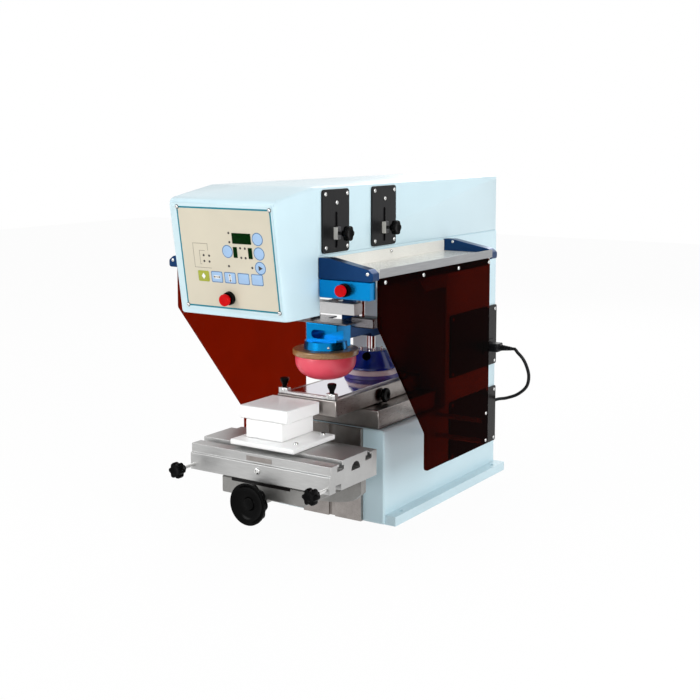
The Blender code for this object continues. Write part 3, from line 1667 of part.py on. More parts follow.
def carriage_block(carriage, finish):
    """Block that runs on the two guide rods, bored for them, the press rods and the piston rod."""
    back = -CARRIAGE_FRONT + CARRIAGE_LENGTH
    block = box(
        "carriage_block",
        (-CARRIAGE_WIDTH / 2, -CARRIAGE_FRONT, CARRIAGE_BOTTOM),
        (CARRIAGE_WIDTH / 2, back, CARRIAGE_TOP),
        finish,
        carriage,
    )
    soften(block, CARRIAGE_EDGE, segments=1)
    for side in SIDES.values():
        rail = rod(
            "carriage_rail_bore",
            (side * RAIL_SPACING / 2, -CARRIAGE_FRONT - OVERRUN, RAIL_HEIGHT),
            "+Y",
            CARRIAGE_LENGTH + 2 * OVERRUN,
            RAIL_RADIUS + RUN_GAP,
            finish,
            carriage,
        )
        press = rod(
            "carriage_press_bore",
            (side * PRESS_ROD_SPACING / 2, PRESS_ROD_PLACE, CARRIAGE_BOTTOM - OVERRUN),
            "+Z",
            CARRIAGE_HEIGHT + 2 * OVERRUN,
            PRESS_ROD_RADIUS + RUN_GAP,
            finish,
            carriage,
        )
        cut(block, rail, press)
    piston = rod(
        "carriage_piston_bore",
        (0, PRESS_ROD_PLACE, CARRIAGE_BOTTOM - OVERRUN),
        "+Z",
        CARRIAGE_HEIGHT + 2 * OVERRUN,
        PISTON_ROD_RADIUS + RUN_GAP,
        finish,
        carriage,
    )
    cut(block, piston)
    reach = STROKE_CYLINDER_FRONT + CARRIAGE_TRAVEL + STROKE_ROD_ENGAGEMENT
    stroke = rod(
        "stroke_rod",
        (0, back - WELD_REACH, RAIL_HEIGHT),
        "+Y",
        reach - back + WELD_REACH,
        STROKE_ROD_RADIUS,
        finish,
        carriage,
    )
    return fuse(block, stroke)


def press_cylinder(carriage, finish):
    """Air cylinder on top of the carriage block that drives the pad down."""
    low = CARRIAGE_TOP + SEAT_GAP
    radius, cap = PRESS_CYLINDER_RADIUS, PRESS_CYLINDER_CAP
    barrel = radius - PRESS_CYLINDER_STEP
    height = PRESS_CYLINDER_HEIGHT
    tube = turned(
        "press_cylinder",
        [
            (0, height),
            (radius, height),
            (radius, height - cap),
            (barrel, height - cap),
            (barrel, cap),
            (radius, cap),
            (radius, 0),
            (0, 0),
        ],
        (0, PRESS_ROD_PLACE, low),
        "+Z",
        finish,
        carriage,
    )
    bore = rod(
        "press_bore",
        (0, PRESS_ROD_PLACE, low - OVERRUN),
        "+Z",
        height - cap + OVERRUN,
        PISTON_ROD_RADIUS + RUN_GAP,
        finish,
        carriage,
    )
    return cut(tube, bore)


def press_group(press, slate, silver, azure, chrome):
    """Notched plate, rods and yoke that carry the pad holder down and up."""
    half, notch = PRESS_PLATE_WIDTH / 2, PRESS_NOTCH_WIDTH / 2
    back = -PRESS_PLATE_FRONT + PRESS_PLATE_LENGTH
    outline = [
        (-half, -PRESS_PLATE_FRONT),
        (half, -PRESS_PLATE_FRONT),
        (half, back),
        (notch, back),
        (notch, back - PRESS_NOTCH_DEPTH),
        (-notch, back - PRESS_NOTCH_DEPTH),
        (-notch, back),
        (-half, back),
    ]
    sheet = plate("press_plate", outline, "XY", PRESS_PLATE_BOTTOM, PRESS_PLATE_TOP, slate, press)
    for name, side in SIDES.items():
        near, far = sorted((side * PRESS_WING_INNER, side * PRESS_WING_REACH))
        wing = box(
            "press_wing",
            (near, -PRESS_WING_FRONT, PRESS_PLATE_BOTTOM - PRESS_WING_DROP),
            (far, -PRESS_WING_FRONT + PRESS_WING_LENGTH, PRESS_WING_TOP),
            slate,
            press,
        )
        soften(wing, PRESS_WING_EDGE, segments=1)
        fuse(sheet, wing)
        rod(
            "press_rod_" + name,
            (side * PRESS_ROD_SPACING / 2, PRESS_ROD_PLACE, PRESS_WING_TOP + SEAT_GAP),
            "+Z",
            CARRIAGE_BOTTOM + PRESS_ROD_TOP_REACH - PRESS_WING_TOP,
            PRESS_ROD_RADIUS,
            chrome,
            press,
        )
    low = PRESS_PLATE_TOP + SEAT_GAP
    front = -PRESS_YOKE_FRONT
    yoke = box(
        "press_yoke",
        (-PRESS_YOKE_WIDTH / 2, front, low + PRESS_YOKE_STEP),
        (PRESS_YOKE_WIDTH / 2, front + PRESS_YOKE_LENGTH, low + PRESS_YOKE_HEIGHT),
        silver,
        press,
    )
    for side in SIDES.values():
        middle = side * PRESS_ROD_SPACING / 2
        ear = box(
            "yoke_ear",
            (
                middle - PRESS_EAR_WIDTH / 2,
                front + PRESS_YOKE_LENGTH - WELD_REACH,
                low + PRESS_YOKE_STEP + PRESS_YOKE_INSET,
            ),
            (
                middle + PRESS_EAR_WIDTH / 2,
                PRESS_ROD_PLACE - PRESS_ROD_RADIUS - SEAT_GAP,
                low + PRESS_YOKE_HEIGHT - PRESS_YOKE_INSET,
            ),
            silver,
            press,
        )
        fuse(yoke, ear)
    bridge_half = PISTON_ROD_RADIUS + PRESS_YOKE_INSET
    bridge = box(
        "yoke_bridge",
        (-bridge_half, front + PRESS_YOKE_LENGTH - WELD_REACH, low + PRESS_YOKE_STEP),
        (bridge_half, PRESS_ROD_PLACE + bridge_half, low + PRESS_YOKE_HEIGHT - WELD_REACH),
        silver,
        press,
    )
    piston = rod(
        "piston_rod",
        (0, PRESS_ROD_PLACE, low + PRESS_YOKE_STEP + WELD_REACH),
        "+Z",
        CARRIAGE_TOP + PISTON_ROD_TOP_REACH - low - PRESS_YOKE_STEP,
        PISTON_ROD_RADIUS,
        chrome,
        press,
    )
    fuse(yoke, bridge, piston)
    holder(press, azure)


def holder(press, azure):
    """Azure pad holder: block with a finger slot across its face, on a round flange."""
    top = PRESS_PLATE_BOTTOM - SEAT_GAP
    front = -PRESS_PLATE_FRONT + HOLDER_SETBACK
    block = box(
        "pad_holder",
        (-HOLDER_WIDTH / 2, front, HOLDER_BOTTOM + WELD_REACH),
        (HOLDER_WIDTH / 2, front + HOLDER_LENGTH, top),
        azure,
        press,
    )
    soften(block, HOLDER_EDGE, segments=2)
    flange = rod(
        "holder_flange",
        (0, -PAD_PLACE, HOLDER_BOTTOM),
        "+Z",
        HOLDER_FLANGE_HEIGHT,
        HOLDER_FLANGE_RADIUS,
        azure,
        press,
        FINE_SIDES,
        HOLDER_FLANGE_RADIUS - HOLDER_EDGE,
    )
    fuse(block, flange)
    start, end = -HOLDER_SLOT_START, HOLDER_WIDTH / 2 + HOLDER_SLOT_HEIGHT
    half_height = HOLDER_SLOT_HEIGHT / 2
    rise = HOLDER_BOTTOM + HOLDER_SLOT_RISE
    slot = plate(
        "holder_slot",
        rounded(
            [
                (start, rise - half_height),
                (end, rise - half_height),
                (end, rise + half_height),
                (start, rise + half_height),
            ],
            half_height * ROUND_END_SHARE,
        ),
        "XZ",
        front - OVERRUN,
        front + HOLDER_SLOT_DEPTH,
        azure,
        press,
    )
    return cut(block, slot)


def print_pad(press, wood, silicone):
    """Wooden backing disc with the soft dome of the printing pad under it."""
    turned(
        "pad_backing",
        [
            (0, BACKING_THICKNESS),
            (BACKING_RADIUS - BACKING_EDGE / 2, BACKING_THICKNESS),
            (BACKING_RADIUS, BACKING_THICKNESS - BACKING_EDGE / 2),
            (BACKING_RADIUS, BACKING_EDGE),
            (BACKING_RADIUS - BACKING_EDGE, 0),
            (0, 0),
        ],
        (0, -PAD_PLACE, BACKING_BOTTOM),
        "+Z",
        wood,
        press,
        FINE_SIDES,
    )
    profile = [(0, 0), (PAD_RADIUS, 0), (PAD_RADIUS, -PAD_RIM_HEIGHT)]
    for step in range(1, PAD_STEPS + 1):
        angle = math.pi / 2 * step / PAD_STEPS
        fall = (PAD_HEIGHT - PAD_RIM_HEIGHT) * math.sin(angle)
        reach = PAD_RADIUS * math.cos(angle) ** PAD_FULLNESS_SHARE if step < PAD_STEPS else 0
        profile.append((reach, -PAD_RIM_HEIGHT - fall))
    turned("print_pad", profile, (0, -PAD_PLACE, PAD_TOP), "+Z", silicone, press, FINE_SIDES)


# Power cord


def smooth_route(points, step):
    """Points a step apart on the smooth curve through a route, whose two end runs stay straight."""
    dense = []
    for index in range(1, len(points) - 2):
        before, start, stop, after = points[index - 1 : index + 3]
        for part in range(ARC_STEPS):
            t = part / ARC_STEPS
            dense.append(
                (
                    start * 2
                    + (stop - before) * t
                    + (before * 2 - start * 5 + stop * 4 - after) * t**2
                    + (start * 3 - before - stop * 3 + after) * t**3
                )
                / 2
            )
    dense.append(points[-2])
    length = sum((b - a).length for a, b in zip(dense, dense[1:]))
    count = max(2, round(length / step))
    spread, walked, target = [dense[0]], 0.0, length / count
    for a, b in zip(dense, dense[1:]):
        piece = (b - a).length
        while walked + piece >= target * len(spread) and len(spread) < count:
            spread.append(a.lerp(b, (target * len(spread) - walked) / piece))
        walked += piece
    return [points[0], *spread, points[-2], points[-1]]


def cord_tube(name, points, material, body, sides_level):
    """Round cord along its points."""
    curve = bpy.data.curves.new(name, "CURVE")
    curve.dimensions = "3D"
    curve.bevel_depth = CORD_DIAMETER / 2
    curve.bevel_resolution = sides_level
    curve.use_fill_caps = True
    spline = curve.splines.new("POLY")
    spline.points.add(len(points) - 1)
    for point, place in zip(spline.points, points):
        point.co = (*place, 1)
    return add(name, curve, material, body)


def coil_points():
    """The stored length: a flat spiral in, a climb where it turns back, and a spiral out on top.

    The lead meets it at the front of the coil, and its tail leaves there too, one cord higher.
    """
    centre = Vector((*COIL_CENTRE, 0))
    floor = CORD_DIAMETER / 2
    total = 2 * math.pi * COIL_TURNS
    middle = total / 2
    inner = COIL_OUTER_RADIUS - CORD_SPACING * COIL_TURNS / 2
    points = []
    count = round(COIL_TURNS * COIL_POINTS_PER_TURN)
    for index in range(count + 1):
        wound = total * index / count
        radius = inner + CORD_SPACING * abs(wound - middle) / (2 * math.pi)
        climb = min(1, max(0, (wound - middle) / math.pi + 0.5))
        angle = -math.pi / 2 - wound
        points.append(
            centre
            + Vector((radius * math.cos(angle), radius * math.sin(angle), floor + climb * CORD_SPACING))
        )
    lead_in = points[0] + Vector((CORD_DIAMETER, 0, 0))
    tail = [
        points[-1] - Vector((COIL_TAIL * part / TAIL_STEPS, 0, tail_fall(part / TAIL_STEPS)))
        for part in range(1, TAIL_STEPS + 1)
    ]
    return [lead_in, *points, *tail]


def tail_fall(share):
    """How far the tail has come down from the top layer to the height of the wall plug."""
    drop = CORD_DIAMETER / 2 + CORD_SPACING - WALL_PLUG_RADIUS
    return drop * share**2 * (3 - 2 * share)


def least_gap(points):
    """Smallest air between two stretches of one cord that aren't neighbours along it."""
    reach = 2 * math.pi * COIL_OUTER_RADIUS / 3
    walked = [0.0]
    for a, b in zip(points, points[1:]):
        walked.append(walked[-1] + (b - a).length)
    least = math.inf
    for i, a in enumerate(points):
        for j in range(i + 1, len(points) - 1):
            if walked[j] - walked[i] < reach:
                continue
            run = points[j + 1] - points[j]
            share = max(0, min(1, (a - points[j]).dot(run) / run.length_squared))
            least = min(least, (a - points[j] - run * share).length)
    return least - CORD_DIAMETER


def power_plug(body, rubber):
    """Moulded inlet plug with its ribbed strain relief."""
    middle = BASE_LENGTH - INLET_BACK_INSET
    face = SIDE_FACE + 2 * SEAT_GAP + SIDE_PANEL_THICKNESS + INLET_FLANGE
    plug = box(
        "power_plug",
        (face, middle - PLUG_WIDTH / 2, INLET_HEIGHT - PLUG_HEIGHT / 2),
        (face + PLUG_LENGTH, middle + PLUG_WIDTH / 2, INLET_HEIGHT + PLUG_HEIGHT / 2),
        rubber,
        body,
    )
    soften(plug, PLUG_EDGE, segments=1)
    tip_radius = CORD_DIAMETER / 2 + RELIEF_RIB_DEPTH
    profile = [(0, RELIEF_LENGTH), (tip_radius, RELIEF_LENGTH)]
    for rib in range(RELIEF_RIBS):
        high = RELIEF_LENGTH * (1 - (rib + 0.5) / RELIEF_RIBS)
        low = RELIEF_LENGTH * (1 - (rib + 1) / RELIEF_RIBS)
        share = (rib + 1) / RELIEF_RIBS
        radius = tip_radius + (RELIEF_ROOT_RADIUS - tip_radius) * share
        profile += [(radius - RELIEF_RIB_DEPTH, high), (radius, low)]
    profile += [(RELIEF_ROOT_RADIUS, -WELD_REACH), (0, -WELD_REACH)]
    relief = turned(
        "strain_relief",
        profile,
        (face + PLUG_LENGTH, middle, INLET_HEIGHT),
        "+X",
        rubber,
        body,
        SMALL_SIDES,
    )
    fuse(plug, relief)
    return Vector((face + PLUG_LENGTH + RELIEF_LENGTH, middle, INLET_HEIGHT))


def wall_plug(body, rubber, start):
    """Two-pin wall plug that lies on the bench beside the coil."""
    profile = [
        (0, WALL_PLUG_LENGTH),
        (WALL_PLUG_RADIUS, WALL_PLUG_LENGTH),
        (WALL_PLUG_RADIUS, WALL_PLUG_TAPER_TOP),
        (WALL_PLUG_NECK_RADIUS, WALL_PLUG_NECK_LENGTH),
        (WALL_PLUG_NECK_RADIUS, 0),
        (0, 0),
    ]
    plug = turned("wall_plug", profile, start, "-X", rubber, body, SMALL_SIDES)
    for side in SIDES.values():
        far = start.x - WALL_PLUG_LENGTH
        middle = start.y + side * PIN_SPACING / 2
        pin = box(
            "plug_pin",
            (far - PIN_LENGTH, middle - PIN_WIDTH / 2, start.z - PIN_HEIGHT / 2),
            (far + WELD_REACH, middle + PIN_WIDTH / 2, start.z + PIN_HEIGHT / 2),
            rubber,
            body,
        )
        fuse(plug, pin)
    return plug


def power_cord(body, rubber):
    exit_place = power_plug(body, rubber)
    coil = coil_points()
    start = exit_place + Vector((SEAT_GAP, 0, 0))
    entry = coil[0] + Vector((SEAT_GAP, 0, 0))
    route = [
        start,
        start + Vector((CORD_DIAMETER, 0, 0)),
        *(Vector(point) for point in LEAD_ROUTE),
        entry + Vector((CORD_DIAMETER, 0, 0)),
        entry,
    ]
    lead = smooth_route(route, LEAD_STEP)
    cord_tube("cord_lead", lead, rubber, body, 2)
    cord_tube("cord_coil", coil, rubber, body, 1)
    wall_plug(body, rubber, coil[-1] - Vector((SEAT_GAP, 0, 0)))
    length = sum(
        (b - a).length for path in (lead, coil) for a, b in zip(path, path[1:])
    )
    print("cord length", round(length, 4), "least gap in coil", round(least_gap(coil), 5))


def build():
    clear_scene()
    blue_paint = paint("light_blue_paint", (0.56, 0.78, 0.86), 0.35)
    navy = paint("navy_anodised", (0.01, 0.04, 0.13), 0.3, 0.4)
    azure = paint("azure_anodised", (0.0, 0.19, 0.55), 0.25, 0.6)
    dark = paint("black_plastic", (0.012, 0.012, 0.013), 0.4)
    cream = paint("cream_panel", (0.72, 0.66, 0.52), 0.4)
    red = paint("red_plastic", (0.6, 0.01, 0.01), 0.25)
    enamel = paint("white_enamel", (0.74, 0.73, 0.68), 0.35)
    smoked = paint("smoked_acrylic", (0.2, 0.015, 0.005), 0.05)
    steel = paint("ground_steel", (0.42, 0.40, 0.38), 0.32, 1.0)
    casting = paint("cast_steel", (0.45, 0.43, 0.42), 0.5, 0.9)
    chrome = paint("chrome", (0.75, 0.75, 0.75), 0.08, 1.0)
    aluminium = paint("machined_aluminium", (0.66, 0.65, 0.63), 0.35, 1.0)
    slate = paint("slate_anodised", (0.06, 0.065, 0.08), 0.35, 0.8)
    white_plastic = paint("white_nylon", (0.85, 0.85, 0.84), 0.5)
    cup_blue = paint("cup_blue", (0.01, 0.07, 0.4), 0.25, 0.2)
    wood = paint("varnished_wood", (0.42, 0.2, 0.07), 0.45)
    silicone = paint("pad_silicone", (0.95, 0.13, 0.18), 0.35)
    rubber = paint("cord_rubber", (0.015, 0.015, 0.015), 0.5)

    machine = carrier("machine", None)
    main_frame(machine, blue_paint)
    arm_beam(machine, blue_paint)
    guide_rods(machine, chrome)
    stroke_cylinder(machine, aluminium)
    top_hood(machine, blue_paint)
    control_panel(machine, cream, dark)
    panel_push = carrier("panel_push", machine, on_face(PANEL_BUTTON_SIDE, PANEL_BUTTON_RISE, 0))
    panel_button(panel_push, red)
    side_panels(machine, dark)
    trays(machine, enamel, navy)
    head_place = button_box(machine, azure, dark)
    head_push = carrier("head_push", machine, head_place)
    turned("head_button", cap_profile(), head_place, "-Y", red, head_push)
    side_covers(machine, smoked)
    stroke_stops(machine, dark, steel)
    slide_ways(machine, steel)
    cliche_bed(machine, steel, dark)

    carriage = carrier("carriage", machine, (0, 0, RAIL_HEIGHT))
    carriage_block(carriage, aluminium)
    press_cylinder(carriage, aluminium)
    cup_arm(carriage, navy, steel)
    press = carrier("pad_press", carriage, (0, PRESS_ROD_PLACE, PRESS_PLATE_TOP))
    press_group(press, slate, aluminium, azure, chrome)
    print_pad(press, wood, silicone)
    spin = carrier("cup_spin", carriage, (0, CUP_BACK, CLICHE_TOP))
    ink_cup(spin, cup_blue, enamel, dark)

    lift = carrier("knee_lift", machine, (0, WAY_FACE, KNEE_TOP))
    knee(lift, casting)
    wheel = carrier("wheel_spin", lift, (0, -WHEEL_FRONT_REACH, WHEEL_HEIGHT))
    handwheel(wheel, dark)
    cross = carrier("saddle_slide", lift, (0, -KNEE_WEB_FRONT, KNEE_TOP))
    saddle(cross, dark)
    table = carrier("table_slide", cross, (0, -TABLE_BACK, TABLE_BOTTOM))
    t_slot_table(table, aluminium)
    table_knobs(table, dark)
    jig(table, white_plastic)
    power_cord(machine, rubber)

    panel_brow = on_face(0, PANEL_LOW_MARGIN + PANEL_LENGTH, SEAT_GAP + PANEL_THICKNESS)
    machine.location.y = -(panel_brow.y + FRAME_BACK) / 2


build()
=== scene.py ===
import json
import math

import bmesh
import bpy
from mathutils import Matrix, Vector

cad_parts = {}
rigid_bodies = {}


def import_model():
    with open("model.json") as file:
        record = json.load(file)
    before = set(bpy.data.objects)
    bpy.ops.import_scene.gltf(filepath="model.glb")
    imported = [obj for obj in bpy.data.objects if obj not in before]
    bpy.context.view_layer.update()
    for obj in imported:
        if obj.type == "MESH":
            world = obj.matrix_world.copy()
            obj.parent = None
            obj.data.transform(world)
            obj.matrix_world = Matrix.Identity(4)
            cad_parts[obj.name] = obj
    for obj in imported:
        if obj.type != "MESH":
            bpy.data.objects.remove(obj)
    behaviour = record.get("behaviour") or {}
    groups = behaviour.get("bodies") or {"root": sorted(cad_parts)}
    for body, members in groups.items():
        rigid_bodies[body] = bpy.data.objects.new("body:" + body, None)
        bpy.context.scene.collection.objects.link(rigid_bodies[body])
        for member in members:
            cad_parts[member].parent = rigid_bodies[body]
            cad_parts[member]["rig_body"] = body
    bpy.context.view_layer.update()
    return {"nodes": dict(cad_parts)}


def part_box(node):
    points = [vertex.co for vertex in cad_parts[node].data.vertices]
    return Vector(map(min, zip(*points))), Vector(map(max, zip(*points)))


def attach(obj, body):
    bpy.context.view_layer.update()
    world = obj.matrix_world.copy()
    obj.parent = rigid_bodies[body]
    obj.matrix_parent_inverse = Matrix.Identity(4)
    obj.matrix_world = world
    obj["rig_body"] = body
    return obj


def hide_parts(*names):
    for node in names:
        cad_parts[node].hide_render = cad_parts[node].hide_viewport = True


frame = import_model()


# Studio
# The machine stands on a white sweep between soft lamps, seen from a little above its front right
# corner with a portrait lens, so its sides stay nearly upright.

CAMERA_PLACE = (1.2566, -1.9377, 0.729)
CAMERA_PITCH = math.radians(-6.45)
CAMERA_YAW = math.radians(33.071)


def new_object(name, data):
    """Object in the scene, at the origin."""
    thing = bpy.data.objects.new(name, data)
    bpy.context.scene.collection.objects.link(thing)
    return thing


lens = bpy.data.cameras.new("studio_camera")
lens.sensor_width = 36
lens.lens = 62.177
lens.shift_y = -0.1143
camera = new_object("studio_camera", lens)
camera.location = CAMERA_PLACE
camera.rotation_euler = (math.pi / 2 + CAMERA_PITCH, 0, CAMERA_YAW)
bpy.context.scene.camera = camera
bpy.context.scene.view_settings.view_transform = "Standard"


def soft_lamp(name, place, aim, size, power):
    """Square softbox that faces the machine."""
    light = bpy.data.lights.new(name, "AREA")
    light.size = size
    light.energy = power
    lamp = new_object(name, light)
    lamp.location = place
    lamp.rotation_euler = (Vector(aim) - Vector(place)).to_track_quat("-Z", "Y").to_euler()


soft_lamp("lamp_front", (-1.0, -2.4, 1.3), (0, 0, 0.35), 1.2, 30)
soft_lamp("lamp_right", (2.6, -0.7, 1.2), (0, 0, 0.3), 1.3, 36)
soft_lamp("lamp_back", (-0.6, 2.4, 1.7), (0, 0, 0.3), 1.4, 22)
soft_lamp("lamp_top", (0.1, -0.2, 2.7), (0, 0, 0), 1.2, 4)


def set_sockets(node, **values):
    """Sets inputs of a shader node; _ stands for a space."""
    for socket, value in values.items():
        node.inputs[socket.replace("_", " ")].default_value = value
    return node


def new_node(tree, kind, **values):
    """Shader node of a kind with its inputs set."""
    return set_sockets(tree.nodes.new("ShaderNode" + kind), **values)


def new_finish(name, colour, roughness, metallic=0.0, **sockets):
    """Material with one shader."""
    finish = bpy.data.materials.new(name)
    finish.use_nodes = True
    set_sockets(
        finish.node_tree.nodes["Principled BSDF"], Base_Color=(*colour, 1), Roughness=roughness,
        Metallic=metallic, **sockets,
    )
    return finish


def shown_rays(tree):
    """1 for rays that show the background: the camera's own and those that gloss or glass sends on."""
    ray = new_node(tree, "LightPath")
    shown = ray.outputs["Is Camera Ray"]
    for kind in ("Is Glossy Ray", "Is Transmission Ray"):
        either = new_node(tree, "Math")
        either.operation = "MAXIMUM"
        tree.links.new(shown, either.inputs[0])
        tree.links.new(ray.outputs[kind], either.inputs[1])
        shown = either.outputs[0]
    return shown


world = bpy.data.worlds.new("studio_world")
world.use_nodes = True
air_tree = world.node_tree
air = set_sockets(air_tree.nodes["Background"], Color=(1, 1, 1, 1))
level = new_node(air_tree, "MapRange", To_Min=0.5, To_Max=1.0)
air_tree.links.new(shown_rays(air_tree), level.inputs["Value"])
air_tree.links.new(level.outputs[0], air.inputs["Strength"])
bpy.context.scene.world = world

sweep_mesh = bpy.data.meshes.new("studio_floor")
sweep_shape = bmesh.new()
bmesh.ops.create_grid(sweep_shape, x_segments=1, y_segments=1, size=6)
bmesh.ops.translate(sweep_shape, vec=(0, 0, -0.0005), verts=sweep_shape.verts)
sweep_shape.to_mesh(sweep_mesh)
sweep_shape.free()
studio_floor = new_object("studio_floor", sweep_mesh)

sweep_paper = new_finish("sweep_paper", (0.95, 0.95, 0.95), 0.9)
paper_tree = sweep_paper.node_tree
paper_glow = new_node(paper_tree, "Emission")
paper_mix = new_node(paper_tree, "MixShader")
paper_share = new_node(paper_tree, "Math")
paper_share.operation = "MULTIPLY"
paper_share.inputs[1].default_value = 0.95
for source, socket in (
    (shown_rays(paper_tree), paper_share.inputs[0]), (paper_share.outputs[0], paper_mix.inputs[0]),
    (paper_tree.nodes["Principled BSDF"].outputs[0], paper_mix.inputs[1]),
    (paper_glow.outputs[0], paper_mix.inputs[2]),
    (paper_mix.outputs[0], paper_tree.nodes["Material Output"].inputs["Surface"]),
):
    paper_tree.links.new(source, socket)
sweep_mesh.materials.append(sweep_paper)


# Mains lead
# Round black rubber flex, 7 mm thick and 1.8 m long. It leaves the moulded plug at the back right,
# falls to the bench, and is stored behind the machine in a flat coil of two layers.

SETBACK = 0.06342718
LEAD_RADIUS = 0.0035
LEAD_EXIT = Vector((0.1712, 0.417 - SETBACK, 0.278))
LEAD_FALL = (
    (0.185, 0.4172, 0.2708), (0.195, 0.4195, 0.26), (0.202, 0.424, 0.244), (0.2048, 0.431, 0.221),
    (0.196, 0.44, 0.196), (0.17, 0.453, 0.174), (0.137, 0.468, 0.159), (0.103, 0.48, 0.148),
    (0.074, 0.49, 0.125), (0.058, 0.496, 0.088), (0.05, 0.497, 0.05), (0.036, 0.493, 0.018),
    (0.014, 0.487, 0.0055), (-0.012, 0.485, 0.004),
)
COIL_MIDDLE = Vector((-0.04, 0.5351 - SETBACK, 0))
COIL_REACH = 0.0511
COIL_PITCH = 0.0076
COIL_TURNS = 5
TURN_STEPS = 60
COIL_TAIL = 0.046
PLUG_HEIGHT = 0.012
STRAIGHT_RUN = Vector((0.0073, 0, 0))


def add_grain(finish, size, stretch=(1, 1, 1), relief=0.0, shade=0.0, gloss=0.0, detail=3.0):
    """Layer of noise: relief in metres, shade and gloss as swings of colour and roughness."""
    tree = finish.node_tree
    link = tree.links.new
    shader = tree.nodes["Principled BSDF"]
    place = new_node(tree, "TexCoord")
    fit = new_node(tree, "Mapping", Scale=stretch)
    noise = new_node(tree, "TexNoise", Scale=1 / size, Detail=detail, Roughness=0.55)
    link(place.outputs["Object"], fit.inputs["Vector"])
    link(fit.outputs[0], noise.inputs["Vector"])
    if shade:
        mix = new_node(tree, "Mix")
        mix.data_type = "RGBA"
        spread = new_node(tree, "MapRange", From_Min=0.28, From_Max=0.72)
        base = shader.inputs["Base Color"]
        if base.is_linked:
            under = base.links[0].from_socket
            for value, side in ((1 - shade, "A"), (1 + shade, "B")):
                tint = new_node(tree, "HueSaturation", Value=value)
                link(under, tint.inputs["Color"])
                link(tint.outputs[0], mix.inputs[side])
        else:
            tone = base.default_value
            mix.inputs["A"].default_value = (*[c * (1 - shade) for c in tone[:3]], 1)
            mix.inputs["B"].default_value = (*[min(1, c * (1 + shade)) for c in tone[:3]], 1)
        link(noise.outputs["Fac"], spread.inputs["Value"])
        link(spread.outputs[0], mix.inputs["Factor"])
        link(mix.outputs["Result"], base)
    if gloss:
        rough = shader.inputs["Roughness"]
        sheen = new_node(
            tree, "MapRange", From_Min=0.3, From_Max=0.7,
            To_Min=max(0.02, rough.default_value - gloss), To_Max=rough.default_value + gloss,
        )
        link(noise.outputs["Fac"], sheen.inputs["Value"])
        link(sheen.outputs[0], rough)
    if relief:
        bump = new_node(tree, "Bump", Distance=relief)
        link(noise.outputs["Fac"], bump.inputs["Height"])
        normal = shader.inputs["Normal"]
        if normal.is_linked:
            link(normal.links[0].from_socket, bump.inputs["Normal"])
        link(bump.outputs[0], normal)


flex_rubber = new_finish("flex_rubber", (0.007, 0.007, 0.008), 0.42, Specular_IOR_Level=0.2)
add_grain(flex_rubber, 0.0012, relief=0.00006, gloss=0.07, shade=0.25)
add_grain(flex_rubber, 0.02, gloss=0.08, shade=0.3)


def eased_route(points, step):
    """Points a step apart on the smooth curve through a route, whose two end runs stay straight."""
    dense = []
    for before, start, stop, after in zip(points, points[1:], points[2:], points[3:]):
        for part in range(24):
            t = part / 24
            bend = (before * 2 - start * 5 + stop * 4 - after) * t**2
            twist = (start * 3 - before - stop * 3 + after) * t**3
            dense.append((start * 2 + (stop - before) * t + bend + twist) / 2)
    dense.append(points[-2])
    spread = [dense[0]]
    for point in dense:
        if (point - spread[-1]).length >= step:
            spread.append(point)
    return [points[0], *spread, points[-2], points[-1]]


coil_inner = COIL_REACH - COIL_PITCH * COIL_TURNS / 2
coil_total = 2 * math.pi * COIL_TURNS
coil_run = []
for index in range(COIL_TURNS * TURN_STEPS + 1):
    wound = coil_total * index / (COIL_TURNS * TURN_STEPS)
    reach = coil_inner + COIL_PITCH * abs(wound - coil_total / 2) / (2 * math.pi)
    climb = min(1, max(0, (wound - coil_total / 2) / math.pi + 0.5)) * COIL_PITCH
    turn = -math.pi / 2 - wound
    coil_run.append(
        COIL_MIDDLE + Vector((reach * math.cos(turn), reach * math.sin(turn), LEAD_RADIUS + climb)),
    )
coil_entry = coil_run[0] + Vector((2 * LEAD_RADIUS, 0, 0))
coil_end = coil_run[-1]
tail_drop = LEAD_RADIUS + COIL_PITCH - PLUG_HEIGHT
for part in range(1, 9):
    share = part / 8
    fall = tail_drop * share**2 * (3 - 2 * share)
    coil_run.append(coil_end - Vector((COIL_TAIL * share, 0, fall)))
lead_route = [
    LEAD_EXIT,
    LEAD_EXIT + STRAIGHT_RUN,
    *(Vector(point) - Vector((0, SETBACK, 0)) for point in LEAD_FALL),
    coil_entry + STRAIGHT_RUN,
    coil_entry,
]
lead_points = eased_route(lead_route, 0.004) + coil_run

lead_curve = bpy.data.curves.new("mains_lead", "CURVE")
lead_curve.dimensions = "3D"
lead_curve.bevel_depth = LEAD_RADIUS
lead_curve.bevel_resolution = 5
lead_curve.use_fill_caps = True
lead_spline = lead_curve.splines.new("POLY")
lead_spline.points.add(len(lead_points) - 1)
for spot, point in zip(lead_spline.points, lead_points):
    spot.co = (*point, 1)
lead_spline.use_smooth = True
lead_curve.materials.append(flex_rubber)
mains_lead = new_object("mains_lead", lead_curve)
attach(mains_lead, "frame")
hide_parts("cord_lead", "cord_coil")


# Wall plug
# Two-pin plug moulded in black rubber on the end of the flex, with a waisted neck to grip and two
# flat brass blades plated bright.


def moved(shape, matrix):
    """The shape after a matrix has moved or turned it."""
    bmesh.ops.transform(shape, matrix=matrix, verts=shape.verts)
    return shape


def turned(profile, place=(0, 0, 0), axis="+Z", steps=48):
    """Lathe work: (radius, height) points turned about an axis through a place."""
    shape = bmesh.new()
    spots = [shape.verts.new((radius, 0, height)) for radius, height in profile]
    runs = [shape.edges.new(pair) for pair in zip(spots, spots[1:])]
    bmesh.ops.spin(
        shape, geom=spots + runs, cent=(0, 0, 0), axis=(0, 0, 1), angle=2 * math.pi, steps=steps,
        use_merge=True,
    )
    bmesh.ops.remove_doubles(shape, verts=shape.verts, dist=0.000002)
    return placed(shape, place, axis)


